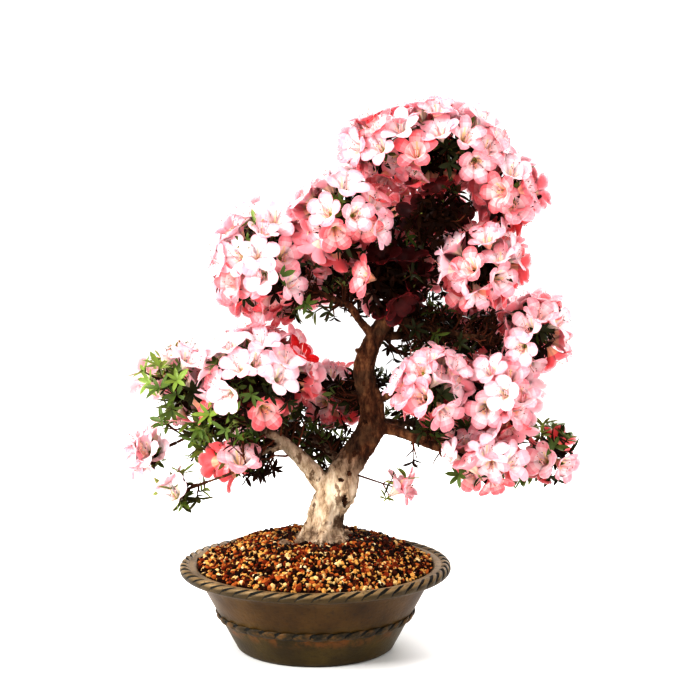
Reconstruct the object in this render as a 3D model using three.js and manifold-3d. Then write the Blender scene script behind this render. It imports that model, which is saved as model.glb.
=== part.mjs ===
// A flowering azalea bonsai in a round stoneware pot with a rope rim.
// Millimetres, +Z up. The origin is the centre of the pot's flat underside, and the front faces -Y.
import * as THREE from "three";
import { mergeVertices } from "three/addons/utils/BufferGeometryUtils.js";
import Module from "manifold-3d";

const wasm = await Module();
wasm.setup();

const at = (x, y, z) => new THREE.Vector3(x, y, z);
const UP = at(0, 0, 1);
const TURN = 2 * Math.PI;
const GOLDEN_ANGLE = Math.PI * (3 - Math.sqrt(5));

// Driving dimensions
const GAP = 0.3; // clearance between pieces that touch on the real plant

const POT = {
  baseRadius: 103,
  wallSlope: 0.536, // radius gained for each millimetre of height
  wallThickness: 9,
  floorThickness: 12,
  footChamfer: 3,
  rimHeight: 108, // height of the rope bead's centre
  rimRadius: 180,
  beadRadius: 7,
  flangeHeight: 98, // where the wall turns out into the rim
  lipRadius: 158, // inner edge of the rim's flat top
  bandHeight: 46, // centre of the raised band round the wall
  bandHalfHeight: 9,
  bandProud: 4.5,
  segments: 36,
};

const SOIL = {
  edgeHeight: 111.5,
  edgeRadius: 156,
  moundHeight: 145.7,
  plateauRadius: 54, // level ground that the trunk stands on
  moundSteps: 11,
  clodHeight: 5, // between the lowest hollow and the highest clod
  clodSeed: 41,
  segments: 36,
};

const GROUND = SOIL.moundHeight + GAP;

const TRUNK = {
  path: [
    at(10, -10, GROUND),
    at(15, -8, 187),
    at(36, -6, 235),
    at(72, 0, 288),
    at(75, 6, 322),
    at(64, 4, 366),
    at(77, 0, 408),
    at(112, 10, 464),
    at(138, 10, 533),
    at(154, 3, 612),
  ],
  footRadius: 24,
  tipRadius: 5,
  taperPower: 1.2,
  flare: 11, // extra radius of the root flare at ground level
  flareHeight: 13,
  buttresses: 5,
  buttressDepth: 0.28, // share of the flare that the buttress roots swell and sink
  sides: 12,
  steps: 26,
};

// Each bough leaves the middle of its parent limb and tapers to where it enters its foliage.
const BOUGHS = {
  left_low_bough: {
    path: [at(21, -6, 207), at(4, -14, 228), at(-12, -22, 249), at(-43, -34, 281), at(-66, -42, 297)],
    radii: [14.5, 6.5],
  },
  left_far_bough: {
    path: [at(-43, -34, 281), at(-85, -30, 303), at(-128, -20, 322)],
    radii: [6.5, 4],
  },
  left_under_bough: {
    path: [at(-36, -31, 276), at(-56, -42, 270), at(-70, -46, 267)],
    radii: [5.5, 3.6],
  },
  left_drop_bough: {
    path: [at(-106, -26, 313), at(-146, 0, 292), at(-184, 6, 272)],
    radii: [3.2, 2.4],
  },
  left_tip_bough: {
    path: [at(-64, -45, 268), at(-100, -88, 250), at(-138, -52, 230)],
    radii: [2.8, 2],
  },
  right_low_bough: {
    path: [at(76, 1, 296), at(104, -6, 291), at(124, -14, 284), at(163, -26, 269)],
    radii: [9.2, 5.2],
  },
  right_outer_low_bough: {
    path: [at(132, -17, 281), at(168, -20, 300), at(196, -24, 318)],
    radii: [5, 3.6],
  },
  right_far_bough: {
    path: [at(112, -10, 288), at(190, 26, 268), at(268, 8, 258)],
    radii: [4.4, 3],
  },
  right_inner_bough: {
    path: [at(73, 6, 326), at(94, -14, 336), at(108, -28, 343)],
    radii: [6, 4],
  },
  right_upper_bough: {
    path: [at(95, 6, 440), at(143, -4, 429), at(190, -12, 416), at(234, -12, 412)],
    radii: [7.9, 4],
  },
  right_mid_bough: {
    path: [at(118, 10, 478), at(140, -8, 491), at(160, -26, 500)],
    radii: [6, 4],
  },
  left_upper_bough: {
    path: [at(78, 0, 411), at(56, -16, 440), at(46, -24, 455), at(28, -28, 463), at(-6, -25, 478)],
    radii: [6, 3.6],
  },
  left_inner_bough: {
    path: [at(131, 10, 512), at(106, -14, 530), at(84, -34, 548)],
    radii: [5.5, 3.8],
  },
  crown_right_bough: {
    path: [at(143, 8, 556), at(174, 6, 574), at(204, 4, 588)],
    radii: [5, 3.4],
  },
  back_left_bough: {
    path: [at(74, 5, 328), at(56, 26, 334), at(44, 42, 333)],
    radii: [6, 4],
  },
  back_upper_bough: {
    path: [at(120, 10, 486), at(125, 36, 500), at(127, 58, 510)],
    radii: [6.5, 4.4],
  },
  back_right_bough: {
    path: [at(80, 1, 413), at(124, 36, 412), at(160, 66, 408)],
    radii: [6.5, 4.4],
  },
  back_mid_bough: {
    path: [at(92, 5, 434), at(64, 34, 462), at(40, 58, 484)],
    radii: [6.2, 4.4],
  },
  back_low_left_bough: {
    path: [at(40, -6, 242), at(10, 34, 262), at(-26, 66, 284)],
    radii: [7, 4.4],
  },
  back_low_right_bough: {
    path: [at(76, 2, 302), at(112, 34, 294), at(146, 64, 290)],
    radii: [6.5, 4.4],
  },
};
const BOUGH = { sides: 6, stepLength: 20 };

// Each mass of foliage fills its own ellipsoid, cut flat where it meets a neighbour's.
// It grows from its bough's tip, or from the trunk at a share of its height.
const MASSES = {
  crown_top: { from: "trunk", share: 1, centre: at(146, -2, 658), reach: at(128, 92, 74), dense: true },
  crown_right: { from: "crown_right_bough", centre: at(250, -4, 598), reach: at(60, 78, 68) },
  crown_front: {
    from: "trunk", share: 0.9,
    centre: at(160, -62, 572),
    reach: at(62, 62, 58),
    leafy: true,
  },
  crown_heart: {
    from: "trunk", share: 0.72,
    centre: at(98, -52, 490),
    reach: at(64, 62, 58),
    leafy: true,
  },
  left_upper_inner: {
    from: "left_inner_bough",
    centre: at(38, -60, 570),
    reach: at(74, 76, 76),
    dense: true,
  },
  left_upper_outer: {
    from: "left_upper_bough",
    centre: at(-62, -20, 512),
    reach: at(88, 92, 92),
    dense: true,
  },
  right_mid: { from: "right_mid_bough", centre: at(212, -50, 510), reach: at(74, 78, 66), dense: true },
  right_outer: { from: "right_upper_bough", centre: at(284, -10, 418), reach: at(62, 80, 66) },
  right_low_inner: { from: "right_inner_bough", centre: at(148, -58, 354), reach: at(64, 70, 62) },
  right_low_outer: {
    from: "right_outer_low_bough",
    centre: at(242, -30, 340),
    reach: at(66, 84, 72),
    dense: true,
  },
  right_low_front: { from: "right_low_bough", centre: at(216, -52, 258), reach: at(66, 70, 52) },
  right_low_far: { from: "right_far_bough", centre: at(308, 0, 264), reach: at(54, 60, 54), leafy: true },
  left_low_main: { from: "left_low_bough", centre: at(-70, -55, 370), reach: at(90, 86, 80), dense: true },
  left_low_far: { from: "left_far_bough", centre: at(-182, -10, 352), reach: at(74, 86, 66), leafy: true },
  left_low_drop: { from: "left_drop_bough", centre: at(-218, 10, 262), reach: at(50, 54, 48) },
  left_low_tip: { from: "left_tip_bough", centre: at(-170, -24, 214), reach: at(48, 48, 40) },
  left_low_under: {
    from: "left_under_bough",
    centre: at(-98, -46, 254),
    reach: at(60, 62, 50),
    leafy: true,
  },
  back_left: { from: "back_left_bough", centre: at(22, 80, 328), reach: at(62, 66, 58) },
  back_upper: { from: "back_upper_bough", centre: at(126, 112, 544), reach: at(104, 82, 92), dense: true },
  back_right: { from: "back_right_bough", centre: at(226, 108, 410), reach: at(80, 78, 78), dense: true },
  back_mid: { from: "back_mid_bough", centre: at(-22, 98, 508), reach: at(88, 80, 72), dense: true },
  back_low_left: { from: "back_low_left_bough", centre: at(-84, 106, 318), reach: at(80, 76, 66) },
  back_low_right: { from: "back_low_right_bough", centre: at(206, 106, 292), reach: at(70, 72, 58) },
  trunk_shoot: { from: "trunk", share: 0.19, centre: at(102, -34, 220), reach: at(50, 42, 36) },
};

const BLOSSOM = {
  radius: 27,
  length: 30, // from the stalk to the plane of the petal tips
  petals: 5,
  shoulder: 0.3, // half the width of a petal's outer edge, as a share of its sector
  shoulderLift: 0.96,
  notchRadius: 0.6,
  notchLift: 0.72,
  throat: 0.34, // depth of solid between the stalk and the throat, as a share of the length
  spacing: 47,
};

const ROSETTE = {
  leaves: 5,
  leafLength: 31,
  leafHalfWidth: 7,
  widestAt: 0.55,
  rise: 0.5, // height of a leaf's tip, as a share of its length
  notchRadius: 5,
  notchLift: 4,
  hubAbove: 8,
  spacing: 48,
};

const GROWTH = {
  firstSeed: 307,
  seedStep: 17,
  shellArea: 2200, // of a mass's shell, for each point that a twig may grow to
  shellDepth: 0.74, // of the shell that is measured, as a share of the reach
  outermost: 1, // depths that a blossom is tried at, as shares of the reach
  innermost: 0.52,
  depthStep: 0.06,
  bloomShare: 0.9, // of the points on the upper side
  underBloomShare: 0.5,
  leafyBloomShare: 0.3,
  underSide: -0.35,
  skyward: 0.25,
  jitter: 0.5,
  coreShare: 0.4, // reach of a dense mass's core
  coreClearance: 5,
  coreRoot: 0.6, // depth in the core that its twigs grow from
  stemRadius: 4,
  stemSides: 5,
  stemSteps: 3,
  stemTip: 1.9,
  stemReach: 0.2, // how far the stem goes past the centre, as a share of its way there
  twigRadius: 1.6,
  twigTip: 1.25,
  twigStep: 28, // longest straight length of a twig
  shortestTwig: 5,
  starClearance: 6, // between the corners of a blossom or leaf and a limb
  twigClearance: 2,
};

const COLOURS = {
  glaze: { color: 0x4f3d28, roughness: 0.42, metalness: 0 },
  soil: { color: 0x8a5526, roughness: 0.95, metalness: 0 },
  bark: { color: 0x8d7560, roughness: 0.9, metalness: 0 },
  blossom: { color: 0xf2a0a8, roughness: 0.7, metalness: 0 },
};

// Solids

function solidOf(geometry) {
  const bare = new THREE.BufferGeometry().setAttribute("position", geometry.getAttribute("position"));
  bare.setIndex(geometry.getIndex());
  const merged = mergeVertices(bare, 1e-4);
  const vertProperties = merged.getAttribute("position").array;
  const triVerts = Uint32Array.from(merged.getIndex().array);
  return new wasm.Manifold(new wasm.Mesh({ numProp: 3, vertProperties, triVerts }));
}

function geometryOf(solid) {
  const { vertProperties, triVerts } = solid.getMesh();
  const geometry = new THREE.BufferGeometry();
  geometry.setAttribute("position", new THREE.BufferAttribute(vertProperties, 3));
  geometry.setIndex(new THREE.BufferAttribute(triVerts, 1));
  geometry.computeVertexNormals();
  return geometry;
}

// The largest closed body of a solid: loose scraps are dropped and sealed hollows filled.
function largestBody(solid) {
  return solid.decompose().reduce((best, body) => (body.volume() > best.volume() ? body : best));
}

function indexedGeometry(points, triangles) {
  const geometry = new THREE.BufferGeometry().setFromPoints(points);
  geometry.setIndex(triangles);
  return geometry;
}

// A right-handed pair of directions across a third.
function across(direction) {
  const helper = Math.abs(direction.z) < 0.9 ? UP : at(1, 0, 0);
  const side = new THREE.Vector3().crossVectors(helper, direction).normalize();
  return [side, new THREE.Vector3().crossVectors(direction, side)];
}

// Corners round a limb: `radius` takes the angle, which starts from `side`.
function ringCorners(middle, along, side, radius, sides) {
  const other = new THREE.Vector3().crossVectors(along, side);
  return Array.from({ length: sides }, (_, k) => {
    const angle = (TURN * k) / sides;
    const out = radius(angle);
    const corner = middle.clone().addScaledVector(side, out * Math.cos(angle));
    return corner.addScaledVector(other, out * Math.sin(angle));
  });
}

// Pairs of triangles between one ring of corners and the next.
function wallTriangles(sides, steps) {
  const triangles = [];
  for (let i = 0; i < steps; i++) {
    for (let k = 0; k < sides; k++) {
      const next = (k + 1) % sides;
      const [a, b, c, d] = [i * sides + k, i * sides + next, (i + 1) * sides + next, (i + 1) * sides + k];
      triangles.push(a, b, c, a, c, d);
    }
  }
  return triangles;
}

const turned = (side, along) => side.clone().addScaledVector(along, -side.dot(along)).normalize();

// A tapering limb along a curve, with a flat cap at each end.
// radiusAt takes the share of the length and the angle round the limb.
function limbGeometry({ curve, radiusAt }, sides, steps, levelFoot = 0) {
  const points = [];
  const length = curve.getLength();
  let side = null;
  for (let i = 0; i <= steps; i++) {
    const share = i / steps;
    const level = levelFoot ? Math.exp((-share * length) / levelFoot) : 0;
    const along = curve.getTangentAt(share).lerp(UP, level).normalize();
    side = side ? turned(side, along) : across(along)[0];
    const radius = (angle) => radiusAt(share, angle);
    points.push(...ringCorners(curve.getPointAt(share), along, side, radius, sides));
  }
  const triangles = wallTriangles(sides, steps);
  const last = steps * sides;
  for (let k = 1; k + 1 < sides; k++) triangles.push(0, k + 1, k, last, last + k, last + k + 1);
  return indexedGeometry(points, triangles);
}

// A three-sided twig that opens at its tip into a star: an outline closed by a fan to a point in front.
function starTwigGeometry({ curve, radiusAt }, { facing, outline, front }) {
  const sides = 3;
  const steps = Math.ceil(curve.getLength() / GROWTH.twigStep);
  const points = [];
  let side = across(facing)[0];
  for (let i = steps; i >= 0; i--) {
    const share = i / steps;
    const along = i === steps ? facing : curve.getTangentAt(share);
    side = turned(side, along);
    points.unshift(...ringCorners(curve.getPointAt(share), along, side, () => radiusAt(share), sides));
  }
  const triangles = [...wallTriangles(sides, steps), 0, 2, 1];
  const first = points.length;
  const centre = first + outline.length;
  const corner = (i) => steps * sides + (Math.round((sides * i) / outline.length) % sides);
  outline.forEach((_, i) => {
    const next = (i + 1) % outline.length;
    triangles.push(first + i, first + next, centre, corner(i), first + next, first + i);
    if (corner(i) !== corner(next)) triangles.push(corner(i), corner(next), first + next);
  });
  return indexedGeometry([...points, ...outline, front], triangles);
}

// Pot and soil

const wallRadius = (height) => POT.baseRadius + POT.wallSlope * height;
const insideRadius = (height) => wallRadius(height) - POT.wallThickness;

function lathe(profile, segments) {
  const points = profile.map(([radius, height]) => new THREE.Vector2(radius, height));
  return new THREE.LatheGeometry(points, segments).rotateX(Math.PI / 2);
}

function potGeometry() {
  const { baseRadius, footChamfer, flangeHeight, rimHeight, rimRadius, beadRadius } = POT;
  const bandAt = (share) => POT.bandHeight + share * POT.bandHalfHeight;
  const beadCentre = rimRadius - beadRadius;
  const beadPoint = (degrees) => [
    beadCentre + beadRadius * Math.cos(THREE.MathUtils.degToRad(degrees)),
    rimHeight + beadRadius * Math.sin(THREE.MathUtils.degToRad(degrees)),
  ];
  const profile = [
    [0, 0],
    [baseRadius - footChamfer, 0],
    [wallRadius(footChamfer), footChamfer],
    [wallRadius(bandAt(-1)), bandAt(-1)],
    [wallRadius(bandAt(-0.5)) + POT.bandProud, bandAt(-0.5)],
    [wallRadius(bandAt(0.5)) + POT.bandProud, bandAt(0.5)],
    [wallRadius(bandAt(1)), bandAt(1)],
    [wallRadius(flangeHeight), flangeHeight],
    ...[-110, -60, 0, 60, 110].map(beadPoint),
    [POT.lipRadius, rimHeight + 3],
    [insideRadius(flangeHeight), flangeHeight],
    [insideRadius(POT.floorThickness), POT.floorThickness],
    [0, POT.floorThickness],
  ];
  return lathe(profile, POT.segments);
}

// A mound that falls from level ground at the trunk to the rim, with seeded clods on its slope.
function soilGeometry() {
  const { edgeHeight, edgeRadius, moundHeight, plateauRadius, moundSteps, clodHeight, segments } = SOIL;
  const random = seededRandom(SOIL.clodSeed);
  const clear = 2 * GAP;
  const floor = POT.floorThickness + GAP;
  const ring = (radius, height, relief = 0, turn = 0) =>
    Array.from({ length: segments }, (_, k) => {
      const angle = (TURN * (k + turn)) / segments;
      const clod = relief ? relief * (random() - 0.5) : 0;
      return at(radius * Math.cos(angle), radius * Math.sin(angle), height + clod);
    });
  const rings = [
    ring(insideRadius(floor) - clear, floor),
    ring(insideRadius(POT.flangeHeight) - clear, POT.flangeHeight),
    ring(edgeRadius - clear, edgeHeight - clear),
  ];
  for (let i = 1; i <= moundSteps; i++) {
    const share = i / moundSteps;
    const rise = Math.sin((share * Math.PI) / 2);
    const radius = edgeRadius + (plateauRadius - edgeRadius) * share;
    const height = edgeHeight + (moundHeight - edgeHeight) * rise;
    rings.push(ring(radius, height, i < moundSteps ? clodHeight : 0, i % 2 ? 0.5 : 0));
  }
  const triangles = wallTriangles(segments, rings.length - 1);
  const last = segments * (rings.length - 1);
  for (let k = 1; k + 1 < segments; k++) triangles.push(0, k + 1, k, last, last + k, last + k + 1);
  return indexedGeometry(rings.flat(), triangles);
}

// Trunk and boughs

const curveOf = (path) => new THREE.CatmullRomCurve3(path, false, "centripetal");

function trunkRadius(share, angle, length) {
  const { footRadius, tipRadius, taperPower, flare, flareHeight, buttresses, buttressDepth } = TRUNK;
  const taper = tipRadius + (footRadius - tipRadius) * (1 - share) ** taperPower;
  const swell = 1 + buttressDepth * Math.cos(buttresses * angle);
  return taper + flare * swell * Math.exp((-share * length) / flareHeight);
}

function trunkGeometry(grow = 0) {
  const curve = curveOf(TRUNK.path);
  const length = curve.getLength();
  const radiusAt = (share, angle) => trunkRadius(share, angle, length) + grow;
  return limbGeometry({ curve, radiusAt }, TRUNK.sides, TRUNK.steps, TRUNK.flareHeight);
}

function boughRadius(bough, share) {
  const [root, tip] = bough.radii;
  return root + (tip - root) * share;
}

function boughGeometry(bough, grow = 0) {
  const end = bough.path.at(-1);
  const heading = end.clone().sub(bough.path.at(-2)).normalize();
  const path = [...bough.path.slice(0, -1), end.clone().addScaledVector(heading, grow)];
  const curve = curveOf(path);
  const steps = Math.max(3, Math.round(curve.getLength() / BOUGH.stepLength));
  const radiusAt = (share) => boughRadius(bough, share) + grow;
  return limbGeometry({ curve, radiusAt }, BOUGH.sides, steps);
}

// Points with a radius along every limb, for keeping foliage clear of it.
function limbBeads() {
  const spacing = 3;
  const beadsOf = (path, radiusAt) => {
    const curve = curveOf(path);
    const length = curve.getLength();
    const count = Math.ceil(length / spacing);
    return Array.from({ length: count + 1 }, (_, i) => ({
      middle: curve.getPointAt(i / count),
      radius: radiusAt(i / count, length),
    }));
  };
  const beads = beadsOf(TRUNK.path, (share, length) => trunkRadius(share, 0, length));
  for (const bough of Object.values(BOUGHS)) {
    beads.push(...beadsOf(bough.path, (share) => boughRadius(bough, share)));
  }
  return beads;
}

// Foliage

// A linear congruential generator that gives the same numbers in any language.
function seededRandom(seed) {
  let state = seed;
  return () => {
    state = (state * 48271) % 2147483647;
    return state / 2147483647;
  };
}

// The distance from a mass's centre to its ellipsoid along a direction.
const reachAlong = (mass, direction) => 1 / direction.clone().divide(mass.reach).length();

// The space of a mass: its ellipsoid, with a flat cut towards each neighbour that it meets.
function spaceOf(mass) {
  const cuts = [];
  for (const other of Object.values(MASSES)) {
    if (other === mass) continue;
    const normal = other.centre.clone().sub(mass.centre);
    const apart = normal.length();
    normal.normalize();
    const own = reachAlong(mass, normal);
    const theirs = reachAlong(other, normal);
    if (own + theirs > apart) cuts.push({ normal, distance: (apart * own) / (own + theirs) - GAP });
  }
  return { ...mass, cuts };
}

function holds(space, point) {
  const offset = point.clone().sub(space.centre);
  if (offset.clone().divide(space.reach).length() > 1) return false;
  return space.cuts.every((cut) => offset.dot(cut.normal) < cut.distance);
}

const clearOfLimbs = (beads, point, margin) =>
  beads.every((bead) => bead.middle.distanceTo(point) > bead.radius + margin);

// The radius of a dense mass's core along a direction.
function coreReach(space, direction) {
  let reach = GROWTH.coreShare * reachAlong(space, direction);
  for (const cut of space.cuts) {
    const towards = direction.dot(cut.normal);
    if (towards > 0) reach = Math.min(reach, (cut.distance - GROWTH.coreClearance) / towards);
  }
  return reach;
}

// A point at a height along `facing` from `base`, and out from that line at an angle round it.
function placer(base, facing) {
  const [side, other] = across(facing);
  return (angle, out, lift) =>
    base
      .clone()
      .addScaledVector(side, Math.cos(angle) * out)
      .addScaledVector(other, Math.sin(angle) * out)
      .addScaledVector(facing, lift);
}

// Corners of a blossom that opens along `facing` from its stalk at `base`.
function blossomCorners(base, facing) {
  const { radius, length, petals, shoulder, shoulderLift, notchRadius, notchLift, throat } = BLOSSOM;
  const place = placer(base, facing);
  const outline = [];
  const sector = TURN / petals;
  for (let p = 0; p < petals; p++) {
    outline.push(place(sector * (p - shoulder), radius, shoulderLift * length));
    outline.push(place(sector * (p + shoulder), radius, shoulderLift * length));
    outline.push(place(sector * (p + 0.5), notchRadius * radius, notchLift * length));
  }
  return { outline, front: place(0, 0, throat * length) };
}

// Corners of a whorl of leaves round a twig's tip.
function rosetteCorners(base, facing) {
  const { leaves, leafLength, leafHalfWidth, widestAt, rise, notchRadius, notchLift, hubAbove } = ROSETTE;
  const place = placer(base, facing);
  const outline = [];
  const sector = TURN / leaves;
  const wide = Math.hypot(widestAt * leafLength, leafHalfWidth);
  const turn = Math.atan2(leafHalfWidth, widestAt * leafLength);
  for (let k = 0; k < leaves; k++) {
    const middle = sector * k;
    outline.push(place(middle - turn, wide, widestAt * rise * leafLength));
    outline.push(place(middle, leafLength, rise * leafLength));
    outline.push(place(middle + turn, wide, widestAt * rise * leafLength));
    outline.push(place(middle + sector / 2, notchRadius, notchLift));
  }
  return { outline, front: place(0, 0, hubAbove) };
}

const BLOOM = { corners: blossomCorners, forward: BLOSSOM.length, spacing: BLOSSOM.spacing };
const WHORL = {
  corners: rosetteCorners,
  forward: ROSETTE.rise * ROSETTE.leafLength,
  spacing: ROSETTE.spacing,
};

// The stem of a mass: from its bough's tip, or the middle of the trunk, to a little past its centre.
function stemOf(mass) {
  const onTrunk = mass.from === "trunk";
  const curve = curveOf(onTrunk ? TRUNK.path : BOUGHS[mass.from].path);
  const parentTip = onTrunk ? TRUNK.tipRadius : BOUGHS[mass.from].radii[1];
  const rootRadius = Math.min(0.92 * parentTip, GROWTH.stemRadius);
  const share = mass.share ?? 1;
  const root = curve.getPointAt(share);
  const onward = mass.centre.clone().sub(root);
  const heading = share === 1 ? curve.getTangentAt(1) : onward.clone().normalize();
  const bend = root.clone().addScaledVector(heading, 0.4 * onward.length());
  const end = mass.centre.clone().addScaledVector(onward, GROWTH.stemReach);
  return {
    curve: new THREE.QuadraticBezierCurve3(root, bend, end),
    radiusAt: (along) => THREE.MathUtils.lerp(rootRadius, GROWTH.stemTip, along),
  };
}

// Points spread evenly over a mass's shell, each with the way a blossom there faces.
function shellPoints(space, random) {
  const { x, y, z } = space.reach;
  const shell = (2 * TURN * (x * y + y * z + z * x) * GROWTH.shellDepth ** 2) / 3;
  const count = Math.round(shell / GROWTH.shellArea);
  const spin = TURN * random();
  return Array.from({ length: count }, (_, i) => {
    const height = 1 - (2 * (i + 0.5)) / count;
    const turn = i * GOLDEN_ANGLE + spin;
    const ring = Math.sqrt(1 - height * height);
    const direction = at(ring * Math.cos(turn), ring * Math.sin(turn), height);
    const wobble = at(random() - 0.5, random() - 0.5, random() - 0.5);
    const facing = direction.clone().divide(space.reach).normalize();
    facing.addScaledVector(UP, GROWTH.skyward).addScaledVector(wobble, GROWTH.jitter).normalize();
    const upper = height > GROWTH.underSide ? GROWTH.bloomShare : GROWTH.underBloomShare;
    const blooms = random() < (space.leafy ? GROWTH.leafyBloomShare : upper);
    return { direction, facing, blooms };
  });
}

// The outermost place on a shell point's ray where a blossom or rosette keeps to the mass's space.
function seatOf(space, beads, point, kind) {
  const { direction, facing } = point;
  for (let depth = GROWTH.outermost; depth > GROWTH.innermost; depth -= GROWTH.depthStep) {
    const seat = space.centre.clone().add(direction.clone().multiply(space.reach).multiplyScalar(depth));
    const base = seat.clone().addScaledVector(facing, -kind.forward);
    const corners = kind.corners(base, facing);
    const samples = [base, corners.front, ...corners.outline];
    samples.push(...corners.outline.map((corner) => corner.clone().lerp(corners.front, 0.5)));
    const fits = (sample) => holds(space, sample) && clearOfLimbs(beads, sample, GROWTH.starClearance);
    if (samples.every(fits)) return { seat, base, facing, ...corners };
  }
  return null;
}

// The point of the skeleton that a twig to `base` leaves from: near it, and growing towards it.
function bestJoint(skeleton, base) {
  let best = null;
  for (const joint of skeleton) {
    const way = base.clone().sub(joint.point);
    const cost = way.length() * (1.6 - way.normalize().dot(joint.heading));
    if (!best || cost < best.cost) best = { joint, cost };
  }
  return best.joint;
}

// Where a twig to `base` leaves a dense mass's core.
function coreJoint(space, base) {
  const heading = base.clone().sub(space.centre).normalize();
  const depth = GROWTH.coreRoot * coreReach(space, heading);
  return { point: space.centre.clone().addScaledVector(heading, depth), heading, radius: GROWTH.stemTip };
}

// A bent twig from a joint to the stalk of a blossom or the hub of a rosette.
function twigTo(joint, { base, facing }) {
  const straight = joint.point.clone().lerp(base, 0.5);
  const led = base.clone().addScaledVector(facing, -0.5 * joint.point.distanceTo(base));
  const root = Math.min(0.9 * joint.radius, GROWTH.twigRadius);
  return {
    curve: new THREE.CatmullRomCurve3([joint.point, straight.lerp(led, 0.5), base], false, "centripetal"),
    radiusAt: (share) => THREE.MathUtils.lerp(root, Math.min(root, GROWTH.twigTip), share),
  };
}

// Grows one mass: a stem, then twigs to points spread over its shell, each with a blossom or,
// where no blossom has room, a whorl of leaves. What would leave the space or touch a limb is left out.
function growMass(mass, seed, beads) {
  const space = spaceOf(mass);
  const points = shellPoints(space, seededRandom(seed));
  const stem = stemOf(mass);
  const skeleton = [];
  for (let i = 1; i <= GROWTH.stemSteps; i++) {
    const share = i / GROWTH.stemSteps;
    const point = stem.curve.getPointAt(share);
    skeleton.push({ point, heading: stem.curve.getTangentAt(share), radius: stem.radiusAt(share) });
  }
  const stars = [];
  for (const kind of [BLOOM, WHORL]) {
    for (const point of points) {
      if (kind === BLOOM && !point.blooms) continue;
      const star = seatOf(space, beads, point, kind);
      if (!star || stars.some((other) => other.seat.distanceTo(star.seat) < kind.spacing)) continue;
      const joint = space.dense ? coreJoint(space, star.base) : bestJoint(skeleton, star.base);
      if (star.base.clone().sub(joint.point).dot(joint.heading) < GROWTH.shortestTwig) continue;
      const twig = twigTo(joint, star);
      const fits = (step) => holds(space, step) && clearOfLimbs(beads, step, GROWTH.twigClearance);
      if (!twig.curve.getSpacedPoints(8).slice(1).every(fits)) continue;
      stars.push({ ...star, twig });
      const heading = twig.curve.getTangentAt(0.5);
      skeleton.push({ point: twig.curve.getPointAt(0.5), heading, radius: twig.radiusAt(0.5) });
    }
  }
  return { space, stem, stars };
}

function coreSolid(space) {
  const geometry = new THREE.IcosahedronGeometry(1, 0);
  const corners = geometry.getAttribute("position");
  const corner = new THREE.Vector3();
  for (let i = 0; i < corners.count; i++) {
    corner.fromBufferAttribute(corners, i).normalize();
    corner.multiplyScalar(coreReach(space, corner)).add(space.centre);
    corners.setXYZ(i, corner.x, corner.y, corner.z);
  }
  return solidOf(geometry);
}

function massSolid({ space, stem, stars }, limbs) {
  const solids = [solidOf(limbGeometry(stem, GROWTH.stemSides, GROWTH.stemSteps))];
  if (space.dense) solids.push(coreSolid(space));
  for (const star of stars) solids.push(solidOf(starTwigGeometry(star.twig, star)));
  return largestBody(wasm.Manifold.union(solids).subtract(limbs));
}

// Assembly

function named(name, geometry, look) {
  const mesh = new THREE.Mesh(geometry, new THREE.MeshStandardMaterial(look));
  mesh.name = name;
  return mesh;
}

const bonsai = new THREE.Group();
const potGroup = new THREE.Group();
const limbGroup = new THREE.Group();
const crownGroup = new THREE.Group();
bonsai.add(potGroup, limbGroup, crownGroup);

potGroup.add(named("pot", potGeometry(), COLOURS.glaze));
potGroup.add(named("soil", soilGeometry(), COLOURS.soil));

limbGroup.add(named("trunk", trunkGeometry(), COLOURS.bark));
let grownLimbs = solidOf(trunkGeometry(GAP));
for (const [name, bough] of Object.entries(BOUGHS)) {
  const solid = largestBody(solidOf(boughGeometry(bough)).subtract(grownLimbs));
  limbGroup.add(named(name, geometryOf(solid), COLOURS.bark));
  grownLimbs = grownLimbs.add(solidOf(boughGeometry(bough, GAP)));
}

const beads = limbBeads();
Object.entries(MASSES).forEach(([name, mass], i) => {
  const grown = growMass(mass, GROWTH.firstSeed + GROWTH.seedStep * i, beads);
  crownGroup.add(named(name, geometryOf(massSolid(grown, grownLimbs)), COLOURS.blossom));
});

export default bonsai;
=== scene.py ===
"""The looks of a flowering azalea bonsai in a round stoneware pot with a rope rim.

Lengths are millimetres, as in the part's own frame, until a mesh is made in metres.
+Z is up, the origin is the centre of the pot's underside, and the front faces -Y.
"""

import math
from types import SimpleNamespace as Values

import bpy
import numpy as np
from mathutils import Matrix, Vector, kdtree, noise


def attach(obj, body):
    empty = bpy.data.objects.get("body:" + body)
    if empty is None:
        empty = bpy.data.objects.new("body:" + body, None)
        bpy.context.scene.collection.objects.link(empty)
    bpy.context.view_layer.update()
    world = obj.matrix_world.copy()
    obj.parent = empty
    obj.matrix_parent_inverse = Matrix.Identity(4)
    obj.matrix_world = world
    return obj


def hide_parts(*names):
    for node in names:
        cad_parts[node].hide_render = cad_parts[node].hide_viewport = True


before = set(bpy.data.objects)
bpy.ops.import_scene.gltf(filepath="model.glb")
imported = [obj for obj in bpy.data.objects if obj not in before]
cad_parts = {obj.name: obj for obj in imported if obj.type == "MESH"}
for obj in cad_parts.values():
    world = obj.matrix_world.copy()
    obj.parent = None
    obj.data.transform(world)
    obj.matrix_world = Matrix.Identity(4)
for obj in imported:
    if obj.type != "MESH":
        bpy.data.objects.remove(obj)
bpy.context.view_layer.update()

MM = 0.001
TURN = 2 * math.pi
GOLDEN_ANGLE = math.pi * (3 - math.sqrt(5))
UP = np.array([0.0, 0.0, 1.0])

# Camera, in millimetres, and lights, in metres and watts

CAMERA = Values(place=(46, -2000, 590), pitch_deg=5.545, lens=78.7, sensor_width=36)

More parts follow.
